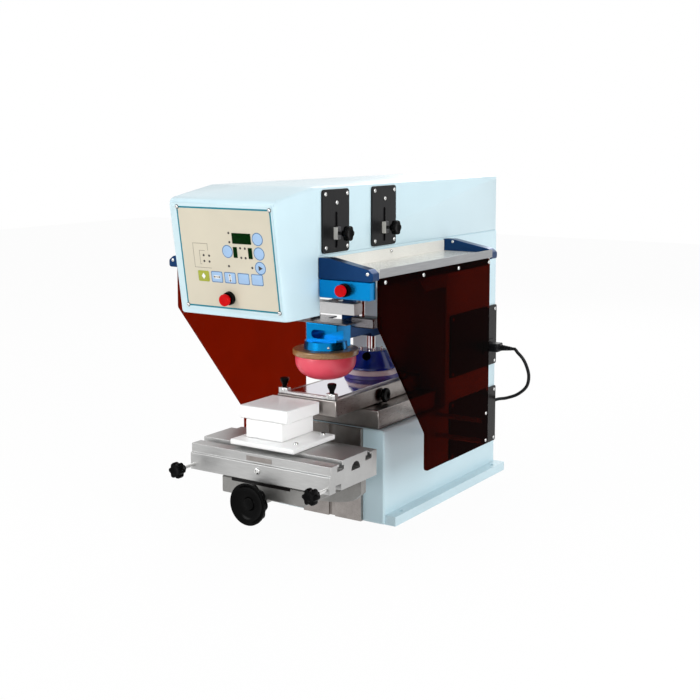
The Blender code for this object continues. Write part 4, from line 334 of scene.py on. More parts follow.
def placed(shape, place, axis="+Z"):
    """Stands a shape made about the origin at its place, with its top along an axis."""
    way = Vector((0, 0, 0))
    way["XYZ".index(axis[1])] = 1
    if axis[0] == "-":
        way.negate()
    turn = way.to_track_quat("Z", "Y").to_matrix().to_4x4()
    return moved(shape, Matrix.Translation(place) @ turn)


def round_off(shape, what, width, segments, affect="EDGES"):
    """Rounds edges or corners."""
    bmesh.ops.bevel(
        shape, geom=what, offset=width, segments=segments, affect=affect, profile=0.5, material=-1,
        clamp_overlap=True,
    )


def block(low, high, edge=0.0, segments=2):
    """Rectangular block between two corners with eased edges."""
    shape = bmesh.new()
    bmesh.ops.create_cube(shape, size=1)
    low, high = Vector(low), Vector(high)
    bmesh.ops.scale(shape, vec=high - low, verts=shape.verts)
    bmesh.ops.translate(shape, vec=(low + high) / 2, verts=shape.verts)
    if edge:
        round_off(shape, shape.edges, edge, segments)
    return shape


def join(shape, *others):
    """Adds other shapes to the first."""
    for other in others:
        spare = bpy.data.meshes.new("spare")
        other.to_mesh(spare)
        other.free()
        shape.from_mesh(spare)
        bpy.data.meshes.remove(spare)
    return shape


def finished(name, shape, finish, body, stands_for, crease):
    """Named piece from a shape whose faces point outwards, riding on a body."""
    mesh = bpy.data.meshes.new(name)
    shape.to_mesh(mesh)
    shape.free()
    mesh.shade_smooth()
    mesh.set_sharp_from_angle(angle=math.radians(crease))
    mesh.materials.append(finish)
    piece = new_object(name, mesh)
    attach(piece, body)
    if stands_for:
        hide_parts(*stands_for)
    return piece


def as_piece(name, shape, finish, body, slot, *stands_for, crease=34):
    """Named piece from a shape that was made here."""
    bmesh.ops.recalc_face_normals(shape, faces=shape.faces)
    return finished(name, shape, finish, body, stands_for, crease)


plug_start = coil_run[-1] - Vector((0.0003, 0, 0))
plug_shape = turned(
    (
        (0, 0), (0.0048, 0), (0.0058, 0.0012), (0.0058, 0.008), (0.0075, 0.0125), (0.01, 0.0165),
        (0.0114, 0.0205), (0.0119, 0.0225), (0.0119, 0.0265), (0.011, 0.0285), (0.0119, 0.0305),
        (0.0119, 0.0375), (0.0108, 0.0396), (0.0095, 0.04), (0, 0.04),
    ),
    plug_start, "-X", 40,
)
wall_plug_body = as_piece(
    "wall_plug_body", plug_shape, flex_rubber, "frame", "cord_rubber", "wall_plug",
)

plated_brass = new_finish("plated_brass", (0.62, 0.61, 0.58), 0.2, 1.0)
add_grain(plated_brass, 0.002, stretch=(0.2, 1, 1), relief=0.00002, gloss=0.06)
blade_shapes = []
for side in (-1, 1):
    middle = plug_start + Vector((-0.0493, side * 0.00635, 0))
    half = Vector((0.0087, 0.00075, 0.0031))
    blade_shapes.append(block(middle - half, middle + half, 0.0004, 1))
wall_plug_blades = as_piece(
    "wall_plug_blades", join(*blade_shapes), plated_brass, "frame", "cord_rubber", "wall_plug",
)


# Inlet plug
# Square moulded plug pushed into the mains inlet, with finger steps on its sides and a ribbed
# relief that tapers down to the flex.

inlet_low, inlet_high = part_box("power_plug")
inlet_middle = (inlet_low + inlet_high) / 2
inlet_shape = block(
    (0.1182, inlet_low.y, inlet_low.z), (0.1442, inlet_high.y, inlet_high.z), 0.0022, 3,
)
for side in (-1, 1):
    for step in range(3):
        near = 0.1262 + 0.0045 * step
        rib = block(
            (near, inlet_middle.y + side * 0.0132 - 0.0003, inlet_middle.z - 0.006),
            (near + 0.002, inlet_middle.y + side * 0.0132 + 0.0003, inlet_middle.z + 0.006),
            0.0002, 1,
        )
        join(inlet_shape, rib)
relief_profile = [(0, 0.027), (0.0034, 0.027), (0.004, 0.0262)]
for rib in range(6):
    top = 0.025 - rib * 0.004
    across = 0.0042 + 0.00045 * rib
    relief_profile += [
        (across, top + 0.0008), (across, top - 0.0012), (across - 0.001, top - 0.0016),
        (across - 0.001, top - 0.003),
    ]
relief_profile += [(0.0068, 0.0012), (0.0068, -0.001), (0, -0.001)]
join(inlet_shape, turned(relief_profile, (0.1442, inlet_middle.y, inlet_middle.z), "+X", 32))
inlet_plug_body = as_piece(
    "inlet_plug_body", inlet_shape, flex_rubber, "frame", "cord_rubber", "power_plug",
)


# Coil ties
# Two bands of black hook tape, each wrapped round both layers of the coil and pressed shut, keep
# the stored turns together. With them the lead has all its pieces.

TIE_ACROSS = 0.014
TIE_TALL = 0.0084
TIE_WIDTH = 0.012


def pull_out(shape, drawn, way):
    """Moves the corners of what was just extruded."""
    corners = [g for g in drawn["geom"] if isinstance(g, bmesh.types.BMVert)]
    bmesh.ops.translate(shape, vec=way, verts=corners)


def squared(along, reach):
    """Pushes a circle's coordinate out towards a box with round corners."""
    return math.copysign(abs(along / reach) ** 0.45 * reach, along)


tie_shape = bmesh.new()
for spin_angle in (0.35, 3.3):
    ring = bmesh.new()
    bmesh.ops.create_circle(ring, radius=1, segments=32, cap_ends=False)
    bmesh.ops.scale(ring, vec=(TIE_ACROSS, TIE_TALL, 1), verts=ring.verts)
    for vert in ring.verts:
        vert.co.x = squared(vert.co.x, TIE_ACROSS)
        vert.co.y = squared(vert.co.y, TIE_TALL)
    pull_out(ring, bmesh.ops.extrude_edge_only(ring, edges=ring.edges), (0, 0, TIE_WIDTH))
    bmesh.ops.recalc_face_normals(ring, faces=ring.faces)
    bmesh.ops.solidify(ring, geom=ring.faces[:], thickness=0.0006)
    stand = Matrix.Rotation(math.pi / 2, 4, "X") @ Matrix.Translation((0, 0, -TIE_WIDTH / 2))
    out = Matrix.Translation((0.0417, 0, 0.0079))
    moved(ring, Matrix.Translation(COIL_MIDDLE) @ Matrix.Rotation(spin_angle, 4, "Z") @ out @ stand)
    for vert in ring.verts:
        vert.co.z = max(vert.co.z, 0.0)
    join(tie_shape, ring)
coil_ties = as_piece("coil_ties", tie_shape, flex_rubber, "frame", "cord_rubber")


# Column and tower
# Welded steel housing on a drilled foot plate, with the tower that carries the head. Sanded at the
# welds and powder painted light blue, with the faint orange peel of a thick coat.

body_paint = new_finish(
    "body_paint", (0.59, 0.77, 0.84), 0.3, Coat_Weight=0.25, Coat_Roughness=0.12,
)
add_grain(body_paint, 0.0022, relief=0.00005, detail=1.5)
add_grain(body_paint, 0.00035, relief=0.00001, gloss=0.05, detail=2)
add_grain(body_paint, 0.16, shade=0.035, detail=2)


def eased_copy(name, node, finish, edge=0.0004, crease=34):
    """The solid of a node with its facets merged, its arrises eased and a finish."""
    source = frame["nodes"][node]
    shape = bmesh.new()
    shape.from_mesh(source.data)
    bmesh.ops.remove_doubles(shape, verts=shape.verts, dist=0.00001)
    bmesh.ops.dissolve_limit(
        shape, angle_limit=math.radians(0.6), verts=shape.verts, edges=shape.edges,
    )
    piece = finished(name, shape, finish, source["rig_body"], [node], crease)
    if edge:
        ease = piece.modifiers.new("eased_edges", "BEVEL")
        ease.width = edge
        ease.segments = 2
        ease.limit_method = "ANGLE"
        ease.angle_limit = math.radians(crease + 4)
        ease.use_clamp_overlap = True
        even = piece.modifiers.new("even_shading", "WEIGHTED_NORMAL")
        even.mode = "FACE_AREA"
        even.weight = 100
        even.keep_sharp = True


eased_copy("column_and_tower", "main_frame", body_paint, 0.0006)


# Arm
# Two deep walls of thick plate, bored for the guide rods. They are welded to the tower under the
# hood and painted with it.

eased_copy("sliding_arm", "arm_beam", body_paint, 0.0006)


# Hood
# Folded sheet cover over the head and the arm, its corners rolled and its welds dressed before
# the same light blue paint. A rounded strip of the same sheet closes its brow.

eased_copy("head_hood", "top_hood", body_paint, 0, crease=40)

BROW_SECTION = (
    (-0.3978, 0.6154), (-0.3973, 0.6168), (-0.3962, 0.6184), (-0.395, 0.6199), (-0.394, 0.6208),
    (-0.3929, 0.62), (-0.3966, 0.6149),
)
BROW_HALF = 0.109
BROW_END = 0.003
BROW_SINK = (0, 0.000972, -0.000696)
brow_shape = bmesh.new()
brow_shape.faces.new([brow_shape.verts.new((-BROW_HALF, y, z)) for y, z in BROW_SECTION])
drawn = bmesh.ops.extrude_face_region(brow_shape, geom=brow_shape.faces[:])
pull_out(brow_shape, drawn, (2 * BROW_HALF, 0, 0))
for x in (BROW_END - BROW_HALF, BROW_HALF - BROW_END):
    whole = brow_shape.verts[:] + brow_shape.edges[:] + brow_shape.faces[:]
    bmesh.ops.bisect_plane(brow_shape, geom=whole, plane_co=(x, 0, 0), plane_no=(1, 0, 0))
brow_ends = [vert for vert in brow_shape.verts if abs(vert.co.x) > BROW_HALF - BROW_END / 2]
bmesh.ops.translate(brow_shape, vec=BROW_SINK, verts=brow_ends)
as_piece("hood_brow", brow_shape, body_paint, "frame", "frame_paint", "top_hood", crease=60)


# Keypad
# Cream film keypad on a stiff painted plate, screwed to the leaning face of the head. Keys are
# domes under the film; displays are dark green windows.

FACE = Matrix(
    (
        (1, 0, 0, 0),
        (0, -0.15591, -0.98777, -0.3055 - SETBACK),
        (0, 0.98777, -0.15591, 0.423),
        (0, 0, 0, 1),
    )
)
KEYPAD_TOP = 0.0019
INK = 0.00008


def film(corners, round_corner, low, high, edge=0.0):
    """Thin plate on the head's face, from its corners as (side, rise)."""
    shape = bmesh.new()
    spots = [shape.verts.new((side, rise, low)) for side, rise in corners]
    shape.faces.new(spots)
    if round_corner:
        round_off(shape, spots, round_corner, 6, "VERTICES")
    drawn = bmesh.ops.extrude_face_region(shape, geom=shape.faces[:])
    pull_out(shape, drawn, (0, 0, high - low))
    if edge:
        rim = [e for e in shape.edges if all(abs(v.co.z - high) < 1e-7 for v in e.verts)]
        round_off(shape, rim, edge, 2)
    return shape


def oblong(left, right, low, high):
    """Corners of a rectangle."""
    return [(left, low), (right, low), (right, high), (left, high)]


def face_disc(side, rise, radius, low, high, dome=0.0, steps=40):
    """Round key, lamp or disc of painted shade under a screw, a little domed."""
    profile = [(0, low), (radius, low), (radius, high)]
    for step in range(1, 5):
        share = step / 5
        profile.append((radius * (1 - share), high + dome * (1 - (1 - share) ** 2)))
    profile.append((0, high + dome))
    return turned(profile, (side, rise, 0), "+Z", steps)


def printed(corners, round_corner, height, edge=0.0, under=0.0):
    """Layer of one thickness on the film, or on what lies under it."""
    low = KEYPAD_TOP + under
    return film(corners, round_corner, low, low + height, edge)


def face_piece(name, shape, finish, *stands_for):
    """Piece made flat and moved onto the leaning face of the head."""
    return as_piece(name, moved(shape, FACE), finish, "frame", "cream_panel", *stands_for)


def face_line(corners, width, closed=False):
    """Printed line of one width along corners, on the film."""
    shape = bmesh.new()
    ends = corners[1:] + corners[:1] if closed else corners[1:]
    for start, stop in zip(map(Vector, corners), map(Vector, ends)):
        run = (stop - start).normalized() * width / 2
        side = Vector((-run.y, run.x))
        quad = (start - run + side, start - run - side, stop + run - side, stop + run + side)
        join(shape, printed(quad, 0, INK))
    return shape


cream_film = new_finish(
    "cream_film", (0.61, 0.56, 0.44), 0.36, Coat_Weight=0.15, Coat_Roughness=0.25,
)
add_grain(cream_film, 0.0005, relief=0.000012, gloss=0.05, detail=2)
add_grain(cream_film, 0.08, shade=0.03)
margin_paint = new_finish(
    "margin_paint", (0.57, 0.73, 0.78), 0.32, Coat_Weight=0.2, Coat_Roughness=0.15,
)
add_grain(margin_paint, 0.0022, relief=0.00004, detail=1.5)
plate_shape = film(
    oblong(-0.1058, 0.1058, 0.0095, 0.1935), 0.004, 0.0003, KEYPAD_TOP - 0.0001, 0.0003,
)
face_piece("keypad_plate", plate_shape, margin_paint, "control_panel")
film_shape = film(oblong(-0.092, 0.1034, 0.0158, 0.1872), 0.002, KEYPAD_TOP - 0.0002, KEYPAD_TOP)
face_piece("keypad_film", film_shape, cream_film, "control_panel")

teal_ink = new_finish("teal_ink", (0.015, 0.2, 0.27), 0.4, Specular_IOR_Level=0.2)
add_grain(teal_ink, 0.0008, shade=0.12, relief=0.00001)
border_shape = face_line(oblong(-0.0912, 0.1026, 0.0164, 0.1866), 0.0029, closed=True)
face_piece("keypad_border", border_shape, teal_ink)

bright_steel = new_finish("bright_steel", (0.68, 0.68, 0.67), 0.18, 1.0)
add_grain(bright_steel, 0.0012, relief=0.00002, gloss=0.08)


def socket_screw(radius, height, place, axis="+Z", round_top=0.35):
    """Button-head screw with a hexagon socket."""
    socket, deep = radius * 0.42, height * 0.45
    profile = [(0, height - deep), (socket, height - deep), (socket, height)]
    for step in range(5):
        angle = math.pi / 2 * step / 4
        profile.append(
            (
                radius * (0.52 + 0.48 * math.sin(angle)),
                height * (1 - round_top * 2 * (1 - math.cos(angle))),
            )
        )
    profile += [(radius, 0), (0, 0)]
    shape = turned(profile, steps=24)
    for vert in shape.verts:
        across = math.hypot(vert.co.x, vert.co.y)
        if abs(across - socket) < socket * 0.02:
            angle = math.atan2(vert.co.y, vert.co.x) % (math.pi / 3) - math.pi / 6
            grow = math.cos(math.pi / 6) / math.cos(angle)
            vert.co.x *= grow
            vert.co.y *= grow
    return placed(shape, place, axis)


def screw_piece(name, body, heads, *stands_for, turn=Matrix()):
    """Bright screws as one piece; each head is what socket_screw takes."""
    shape = join(bmesh.new(), *(socket_screw(*head) for head in heads))
    as_piece(name, moved(shape, turn), bright_steel, body, "polished_steel", *stands_for)


SCREW_SPOTS = [(side, rise) for side in (-0.091, 0.102) for rise in (0.0164, 0.1866)]
heads = [(0.003, 0.0024, (*spot, KEYPAD_TOP)) for spot in SCREW_SPOTS]
screw_piece("keypad_screws", "frame", heads, turn=FACE)

display_glass = new_finish("display_glass", (0.001, 0.018, 0.002), 0.3, Specular_IOR_Level=0.02)
add_grain(display_glass, 0.004, shade=0.35, detail=1)
WINDOWS = (
    (0.0196, 0.0586, 0.1284, 0.1466, 0.0008), (0.0194, 0.0279, 0.1046, 0.123, 0.0006),
    (0.0503, 0.0588, 0.1043, 0.1228, 0.0006),
)
window_shape = bmesh.new()
for *sides, round_corner in WINDOWS:
    join(window_shape, printed(oblong(*sides), round_corner, 0.00025, 0.0001))
face_piece("display_windows", window_shape, display_glass)

key_outline_blue = new_finish("key_outline_blue", (0.045, 0.15, 0.34), 0.38)
add_grain(key_outline_blue, 0.0008, shade=0.15)
key_blue = new_finish("key_blue", (0.33, 0.5, 0.73), 0.38)
add_grain(key_blue, 0.0006, relief=0.00001, shade=0.04)
KEY_RADIUS = 0.0096
RING_RADIUS = 0.011
ROUND_KEYS = ((0.072, 0.138), (0.0073, 0.1145), (0.0725, 0.1139), (0.0722, 0.0898))
SQUARE_KEYS = (-0.0208, 0.007, 0.0351, 0.0633)
KEY_HEIGHT = 0.0005
KEY_EDGE = 0.0004
KEY_HALF = 0.0107
KEY_LOW = 0.0612
KEY_HIGH = 0.0777
OUTLINE = 0.0013
OUTLINE_HEIGHT = 0.00012
ring_shape, key_shape = bmesh.new(), bmesh.new()
for side, rise in ROUND_KEYS:
    join(ring_shape, face_disc(side, rise, RING_RADIUS, KEYPAD_TOP, KEYPAD_TOP + OUTLINE_HEIGHT))
    join(key_shape, face_disc(side, rise, KEY_RADIUS, KEYPAD_TOP, KEYPAD_TOP + 0.00022, 0.0006))
for middle in SQUARE_KEYS:
    left, right = middle - KEY_HALF, middle + KEY_HALF
    rim = oblong(left - OUTLINE, right + OUTLINE, KEY_LOW - OUTLINE, KEY_HIGH + OUTLINE)
    key = oblong(left, right, KEY_LOW, KEY_HIGH)
    join(ring_shape, printed(rim, 0.0024, OUTLINE_HEIGHT))
    join(key_shape, printed(key, 0.0018, KEY_HEIGHT, KEY_EDGE))
face_piece("keypad_key_outlines", ring_shape, key_outline_blue)
face_piece("keypad_blue_keys", key_shape, key_blue)

key_green = new_finish("key_green", (0.33, 0.36, 0.016), 0.36, Coat_Weight=0.15)
add_grain(key_green, 0.0006, relief=0.00001, shade=0.06)
start_key_shape = printed(oblong(-0.0611, -0.0376, 0.06, 0.0787), 0.0024, KEY_HEIGHT, KEY_EDGE)
face_piece("keypad_start_key", start_key_shape, key_green)

symbol_white = new_finish("symbol_white", (0.8, 0.8, 0.77), 0.4)
add_grain(symbol_white, 0.0006, shade=0.04)
UNDER_INK = 0.00006
diamond = [(-0.0534, 0.0694), (-0.0493, 0.064), (-0.0452, 0.0694), (-0.0493, 0.0748)]
white_shape = printed(diamond, 0, INK, under=KEY_HEIGHT)
for sides in ((-0.028, -0.0136, 0.0668, 0.072), (0.0043, 0.0097, 0.0628, 0.076)):
    join(white_shape, printed(oblong(*sides), 0.002, UNDER_INK, under=KEY_HEIGHT))
face_piece("keypad_white_marks", white_shape, symbol_white)

dark_ink = new_finish("dark_ink", (0.025, 0.018, 0.016), 0.4)
add_grain(dark_ink, 0.0006, shade=0.2)
marks_and_screw_shade = bmesh.new()
for ends in ([(-0.0267, 0.0694), (-0.0149, 0.0694)], [(0.007, 0.0642), (0.007, 0.0746)]):
    shaft = face_line(ends, 0.0011)
    join(marks_and_screw_shade, moved(shaft, Matrix.Translation((0, 0, KEY_HEIGHT + INK))))
for arrow_head in (
    ((-0.028, 0.0694), (-0.0252, 0.0674), (-0.0252, 0.0714)),
    ((-0.0136, 0.0694), (-0.0164, 0.0714), (-0.0164, 0.0674)),
    ((0.007, 0.0626), (0.0091, 0.0656), (0.0049, 0.0656)),
    ((0.007, 0.0762), (0.0049, 0.0732), (0.0091, 0.0732)),
):
    join(marks_and_screw_shade, printed(arrow_head, 0, INK, under=KEY_HEIGHT + UNDER_INK))
triangle = ((0.0774, 0.0898), (0.0692, 0.094), (0.0692, 0.0856))
join(marks_and_screw_shade, printed(triangle, 0, KEY_HEIGHT, under=KEY_HEIGHT))
LAMP_PLACES = (
    (0.0135, 0.1461), (0.0136, 0.1306), (0.0347, 0.1214), (0.0442, 0.1213), (0.035, 0.1054),
    (0.0439, 0.1053), (0.0071, 0.0896), (0.0556, 0.0895), (-0.0447, 0.1054), (-0.033, 0.1052),
    (-0.0446, 0.0954), (-0.0335, 0.095),
)
for side, rise in LAMP_PLACES:
    join(marks_and_screw_shade, face_disc(side, rise, 0.0021, KEYPAD_TOP, KEYPAD_TOP + 0.0001, 0.0006, 20))
# Dark discs round the keypad screws: painted shade under their heads.
for side, rise in SCREW_SPOTS:
    join(marks_and_screw_shade, face_disc(side, rise, 0.0038, KEYPAD_TOP, KEYPAD_TOP + 0.0004, 0, 28))
face_piece("keypad_lamps_marks_and_screw_shade", marks_and_screw_shade, dark_ink)

brown_ink = new_finish("brown_ink", (0.24, 0.2, 0.15), 0.4)
add_grain(brown_ink, 0.0006, shade=0.1)
bracket_lines = bmesh.new()
for corners in (
    [(-0.0347, 0.1144), (-0.0347, 0.1256), (-0.0658, 0.1256), (-0.0658, 0.084), (-0.0305, 0.084)],
    [(-0.0415, 0.1134), (-0.053, 0.1134), (-0.053, 0.09), (-0.0505, 0.09)],
):
    join(bracket_lines, face_line(corners, 0.0008))
face_piece("keypad_outline_marks", bracket_lines, brown_ink)


# Stop buttons
# Red mushroom caps pushed into turned black collars: this one on the keypad, its twin on the blue
# box beside the pad.

black_moulding = new_finish(
    "black_moulding", (0.002, 0.002, 0.002), 0.24, Specular_IOR_Level=0.04, Coat_Weight=0.02,
    Coat_Roughness=0.1,
)
add_grain(black_moulding, 0.0007, relief=0.000025, gloss=0.06, shade=0.2)
red_moulding = new_finish(
    "red_moulding", (0.55, 0.001, 0.003), 0.32, Specular_IOR_Level=0.06, Coat_Weight=0.05,
    Coat_Roughness=0.08,
)
add_grain(red_moulding, 0.01, shade=0.08, gloss=0.04)

STOP_PLACE = (0.0015, 0.0345)
COLLAR_SHAPE = (
    (0.0064, 0), (0.0064, 0.0058), (0.0072, 0.0066), (0.0104, 0.007), (0.0112, 0.0063),
    (0.0112, 0.0016), (0.0116, 0.0012), (0.0116, 0), (0.0064, 0),
)


def cap_shape():
    """Mushroom cap with a rolled brow and a shallow dish, on its stem."""
    return turned(
        (
            (0, 0.0043), (0.0058, 0.0043), (0.0058, 0.0113), (0.0095, 0.0113), (0.01, 0.0119),
            (0.01, 0.0166), (0.0097, 0.0175), (0.009, 0.0181), (0.008, 0.0182), (0.006, 0.0179),
            (0.003, 0.0177), (0, 0.0177),
        ),
    )


collar_shape = turned(COLLAR_SHAPE, (*STOP_PLACE, KEYPAD_TOP - 0.0003), "+Z", 40)
as_piece(
    "stop_collar", moved(collar_shape, FACE), black_moulding, "frame", "black_plastic",
    "control_panel",
)
cap = placed(cap_shape(), (*STOP_PLACE, KEYPAD_TOP))
as_piece(
    "stop_button_cap", moved(cap, FACE), red_moulding, "panel_button", "red_plastic",
    "panel_button",
)


# Service panels
# Two black painted plates screwed low on the tower's right side; the upper one holds the mains
# inlet, whose flange is moulded in black.

black_paint = new_finish(
    "black_paint", (0.008, 0.007, 0.007), 0.3, Specular_IOR_Level=0.12, Coat_Weight=0.03,
    Coat_Roughness=0.15,
)
add_grain(black_paint, 0.0012, relief=0.00003, gloss=0.05, detail=2)
add_grain(black_paint, 0.05, shade=0.2)
eased_copy("inlet_panel", "power_panel", black_paint)
eased_copy("blank_panel", "lower_panel", black_paint)
heads = [
    (0.0034, 0.0022, (0.1149, y, z), "+X")
    for y in (0.196, 0.385) for z in (0.243, 0.3555, 0.0735, 0.1795)
]
screw_piece("service_panel_screws", "frame", heads)


# Tool trays
# Folded sheet trays in warm white enamel along both sides of the head, each with a brushed steel
# lip and a flange below that takes the smoked cover.

tray_enamel = new_finish(
    "tray_enamel", (0.81, 0.8, 0.75), 0.28, Coat_Weight=0.3, Coat_Roughness=0.15,
)
add_grain(tray_enamel, 0.002, relief=0.00003, gloss=0.04)
add_grain(tray_enamel, 0.12, shade=0.05)
eased_copy("right_tray", "tray_right", tray_enamel)
eased_copy("left_tray", "tray_left", tray_enamel)

brushed_lip = new_finish("brushed_lip", (0.34, 0.345, 0.355), 0.36, 1.0)
add_grain(brushed_lip, 0.0009, stretch=(1, 0.02, 1), relief=0.00002, shade=0.16, gloss=0.08)
floor_shape, lip_shape = bmesh.new(), bmesh.new()
for side in (-1, 1):
    x1, x2 = sorted((side * 0.2192, side * 0.21975))
    join(lip_shape, block((x1, -0.2552, 0.4912), (x2, 0.1584, 0.5062), 0.0002, 1))
    x1, x2 = sorted((side * 0.1145, side * 0.217))
    join(floor_shape, block((x1, -0.255, 0.4988), (x2, 0.1582, 0.4993), 0.0002, 1))
as_piece("tray_lip_strips", lip_shape, brushed_lip, "frame", "machined_aluminium")
as_piece("tray_floor_mats", floor_shape, tray_enamel, "frame", "tray_enamel")


# Tray brackets and button box
# Milled aluminium brackets that carry the trays and a small box for the second stop button, held
# by small screws. All are anodised in one blue, given in two tones: a navy copy on the brackets
# as painted shade, and a lighter azure copy on the box as painted light.

# Navy copy of the blue anodising, darker than the metal: painted shade.
shaded_blue_anodising = new_finish(
    "shaded_blue_anodising", (0.006, 0.038, 0.125), 0.3, 0.85, Specular_IOR_Level=0.3, Coat_Weight=0.04,
    Coat_Roughness=0.1,
)
add_grain(shaded_blue_anodising, 0.0006, relief=0.000004, gloss=0.05, shade=0.06)
# Azure copy of the same anodising, lighter: painted light on front-lit faces.
lit_blue_anodising = new_finish(
    "lit_blue_anodising", (0.0, 0.23, 0.57), 0.24, 0.85, Specular_IOR_Level=0.2, Coat_Weight=0.03,
    Coat_Roughness=0.08,
)
add_grain(lit_blue_anodising, 0.0006, relief=0.000004, gloss=0.04, shade=0.05)
for side in ("left", "right"):
    for end in ("front", "rear"):
        eased_copy(
            f"bracket_{end}_{side}", f"tray_bracket_{end}_{side}", shaded_blue_anodising,
            0.0007,
        )
eased_copy("button_housing", "button_box", lit_blue_anodising, 0.0008)

heads = [
    (0.003, 0.0018, (0.1146, -0.044, 0.5143), "+X"),
    (0.003, 0.0018, (0.1327, 0.159, 0.5172), "-Y"),
]
for side in (-1, 1):
    heads += [
        (0.0032, 0.002, (side * 0.2096, -0.2767, 0.4997), "-Y"),
        (0.003, 0.002, (side * 0.206, 0.1799, 0.5), "+Y"),
    ]
screw_piece("bracket_screws", "frame", heads)


def seat(node, axis):
    """Middle of the end of a node's box that an axis starts from."""
    low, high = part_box(node)
    along = "XYZ".index(axis[1])
    place = (low + high) / 2
    place[along] = low[along] if axis[0] == "+" else high[along]
    return place


box_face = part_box("button_box")[0].y + 0.007
cap_back = seat("head_button", "-Y") + Vector((0, 0.0043, 0))
box_collar_shape = turned(
    (
        (0.0062, 0), (0.0062, 0.0064), (0.0072, 0.007), (0.0104, 0.0074), (0.0113, 0.007),
        (0.0116, 0.006), (0.0116, 0), (0.0062, 0),
    ),
    (cap_back.x, box_face, cap_back.z), "-Y",
)
as_piece("box_collar", box_collar_shape, black_moulding, "frame", "black_plastic", "button_box")
cap = placed(cap_shape(), cap_back, "-Y")
as_piece("side_button_cap", cap, red_moulding, "head_button", "red_plastic", "head_button")


# Smoked covers
# Polished red-brown acrylic sheet, 5 mm thick, screwed to the flange below each tray and to two
# posts. The right one is a darker copy of the same acrylic: painted shade for its shaded inside.

smoked_acrylic = new_finish(
    "smoked_acrylic", (0.152, 0.0055, 0.0004), 0.0, IOR=1.04, Transmission_Weight=1.0,
)
add_grain(smoked_acrylic, 0.05, shade=0.06, detail=1)
# Darker copy of the smoked acrylic for the right cover: painted shade.
shaded_acrylic = new_finish(
    "shaded_smoked_acrylic", (0.055, 0.002, 0.0003), 0.0, IOR=1.03, Transmission_Weight=1.0,
)
add_grain(shaded_acrylic, 0.05, shade=0.06, detail=1)
eased_copy("right_cover", "side_cover_right", shaded_acrylic)
eased_copy("left_cover", "side_cover_left", smoked_acrylic)
COVER_FACE = 0.2193
heads = []
for face, axis in ((COVER_FACE, "+X"), (-COVER_FACE, "-X")):
    for y in (-0.2383, -0.1103, 0.0197, 0.1436):
        heads.append((0.0036, 0.0022, (face, y, 0.4832), axis))
    for z in (0.188, 0.1345):
        heads.append((0.0032, 0.002, (face, 0.1385, z), axis))
screw_piece("cover_screws", "frame", heads)


# Stroke stops
# Black anodised plates with an upright slot over a black sheet of painted shade; in each a
# blackened block with a light front is slid up or down and clamped by its faceted knob.

black_plate = new_finish("black_plate", (0.007, 0.007, 0.008), 0.36, Specular_IOR_Level=0.15)
add_grain(black_plate, 0.0011, stretch=(1, 1, 0.03), relief=0.00002, shade=0.45, gloss=0.1)
dark_steel = new_finish("dark_steel", (0.07, 0.07, 0.075), 0.32, 0.9)
add_grain(dark_steel, 0.0012, stretch=(1, 0.1, 1), relief=0.00002, shade=0.25, gloss=0.08)


def fluted(shape, count, depth, inner, top=1.0, power=1.0, run_in=0.0):
    """Presses flutes into what is outside a radius and below a height, growing over the run-in."""
    for vert in shape.verts:
        across = math.hypot(vert.co.x, vert.co.y)
        if across > inner and vert.co.z < top:
            wave = 0.5 - 0.5 * math.cos(count * math.atan2(vert.co.y, vert.co.x))
            grown = min(1, (across - inner) / run_in) if run_in else 1
            pull = 1 - depth * wave**power * grown
            vert.co.x *= pull
            vert.co.y *= pull


def hand_knob(radius, length, lobes, depth, place, axis, dish=0.12, steps=72):
    """Moulded hand knob: a turned blank with fingers pressed into its rim."""
    profile = (
        (0, 0), (radius * 0.42, 0), (radius * 0.46, length * 0.3), (radius * 0.8, length * 0.34),
        (radius * 0.96, length * 0.42), (radius, length * 0.52), (radius, length * 0.82),
        (radius * 0.93, length * 0.95), (radius * 0.8, length), (radius * 0.6, length),
        (radius * 0.4, length * (1 - dish * 0.6)), (0, length * (1 - dish)),
    )
    blank = turned(profile, steps=steps)
    fluted(blank, lobes, depth, inner=radius * 0.55, power=1.6, run_in=radius * 0.35)
    return placed(blank, place, axis)


def grip_piece(name, shape, node):
    """Black moulded grip that moves with its node's own body."""
    as_piece(name, shape, black_moulding, node, "black_plastic", node)


for end in ("front", "rear"):
    plate_low, plate_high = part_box("stop_plate_" + end)
    eased_copy("slotted_plate_" + end, "stop_plate_" + end, black_plate, 0.0005)
    eased_copy("stop_slide_" + end, "stop_block_" + end, dark_steel, 0.0006)
    slide_low, slide_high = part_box("stop_block_" + end)
    as_piece(
        "stop_slide_face_" + end,
        block(
            (plate_high.x + 0.0003, slide_low.y - 0.0003, slide_low.z + 0.0006),
            (plate_high.x + 0.0085, slide_low.y + 0.0002, slide_high.z - 0.0006), 0.0001, 1,
        ),
        tray_enamel, frame["nodes"]["stop_block_" + end]["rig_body"], "black_steel",
        "stop_block_" + end,
    )
    # Black sheet behind the slot: painted shade where the hood would show through.
    slot_shade_low = (plate_low.x - 0.0002, plate_low.y + 0.004, plate_low.z + 0.004)
    slot_shade_high = (plate_low.x + 0.0006, plate_high.y - 0.004, plate_high.z - 0.004)
    as_piece(
        "stop_slot_shade_" + end, block(slot_shade_low, slot_shade_high, 0.0001, 1), black_plate, "frame",
        "black_sheet",
    )
    grip = hand_knob(0.0139, 0.0147, 6, 0.16, seat("stop_knob_" + end, "+X"), "+X")
    grip_piece("stop_grip_" + end, grip, "stop_knob_" + end)
    spots = (
        (plate_low.y + 0.009, 0.5362), (plate_high.y - 0.007, 0.5358),
        (plate_low.y + 0.0425, 0.6119), (plate_low.y + 0.008, 0.627),
        (plate_high.y - 0.0072, 0.6268),
    )
    heads = [(0.0037, 0.0019, (plate_high.x, y, z), "+X") for y, z in spots]
    screw_piece("stop_plate_screws_" + end, "frame", heads)


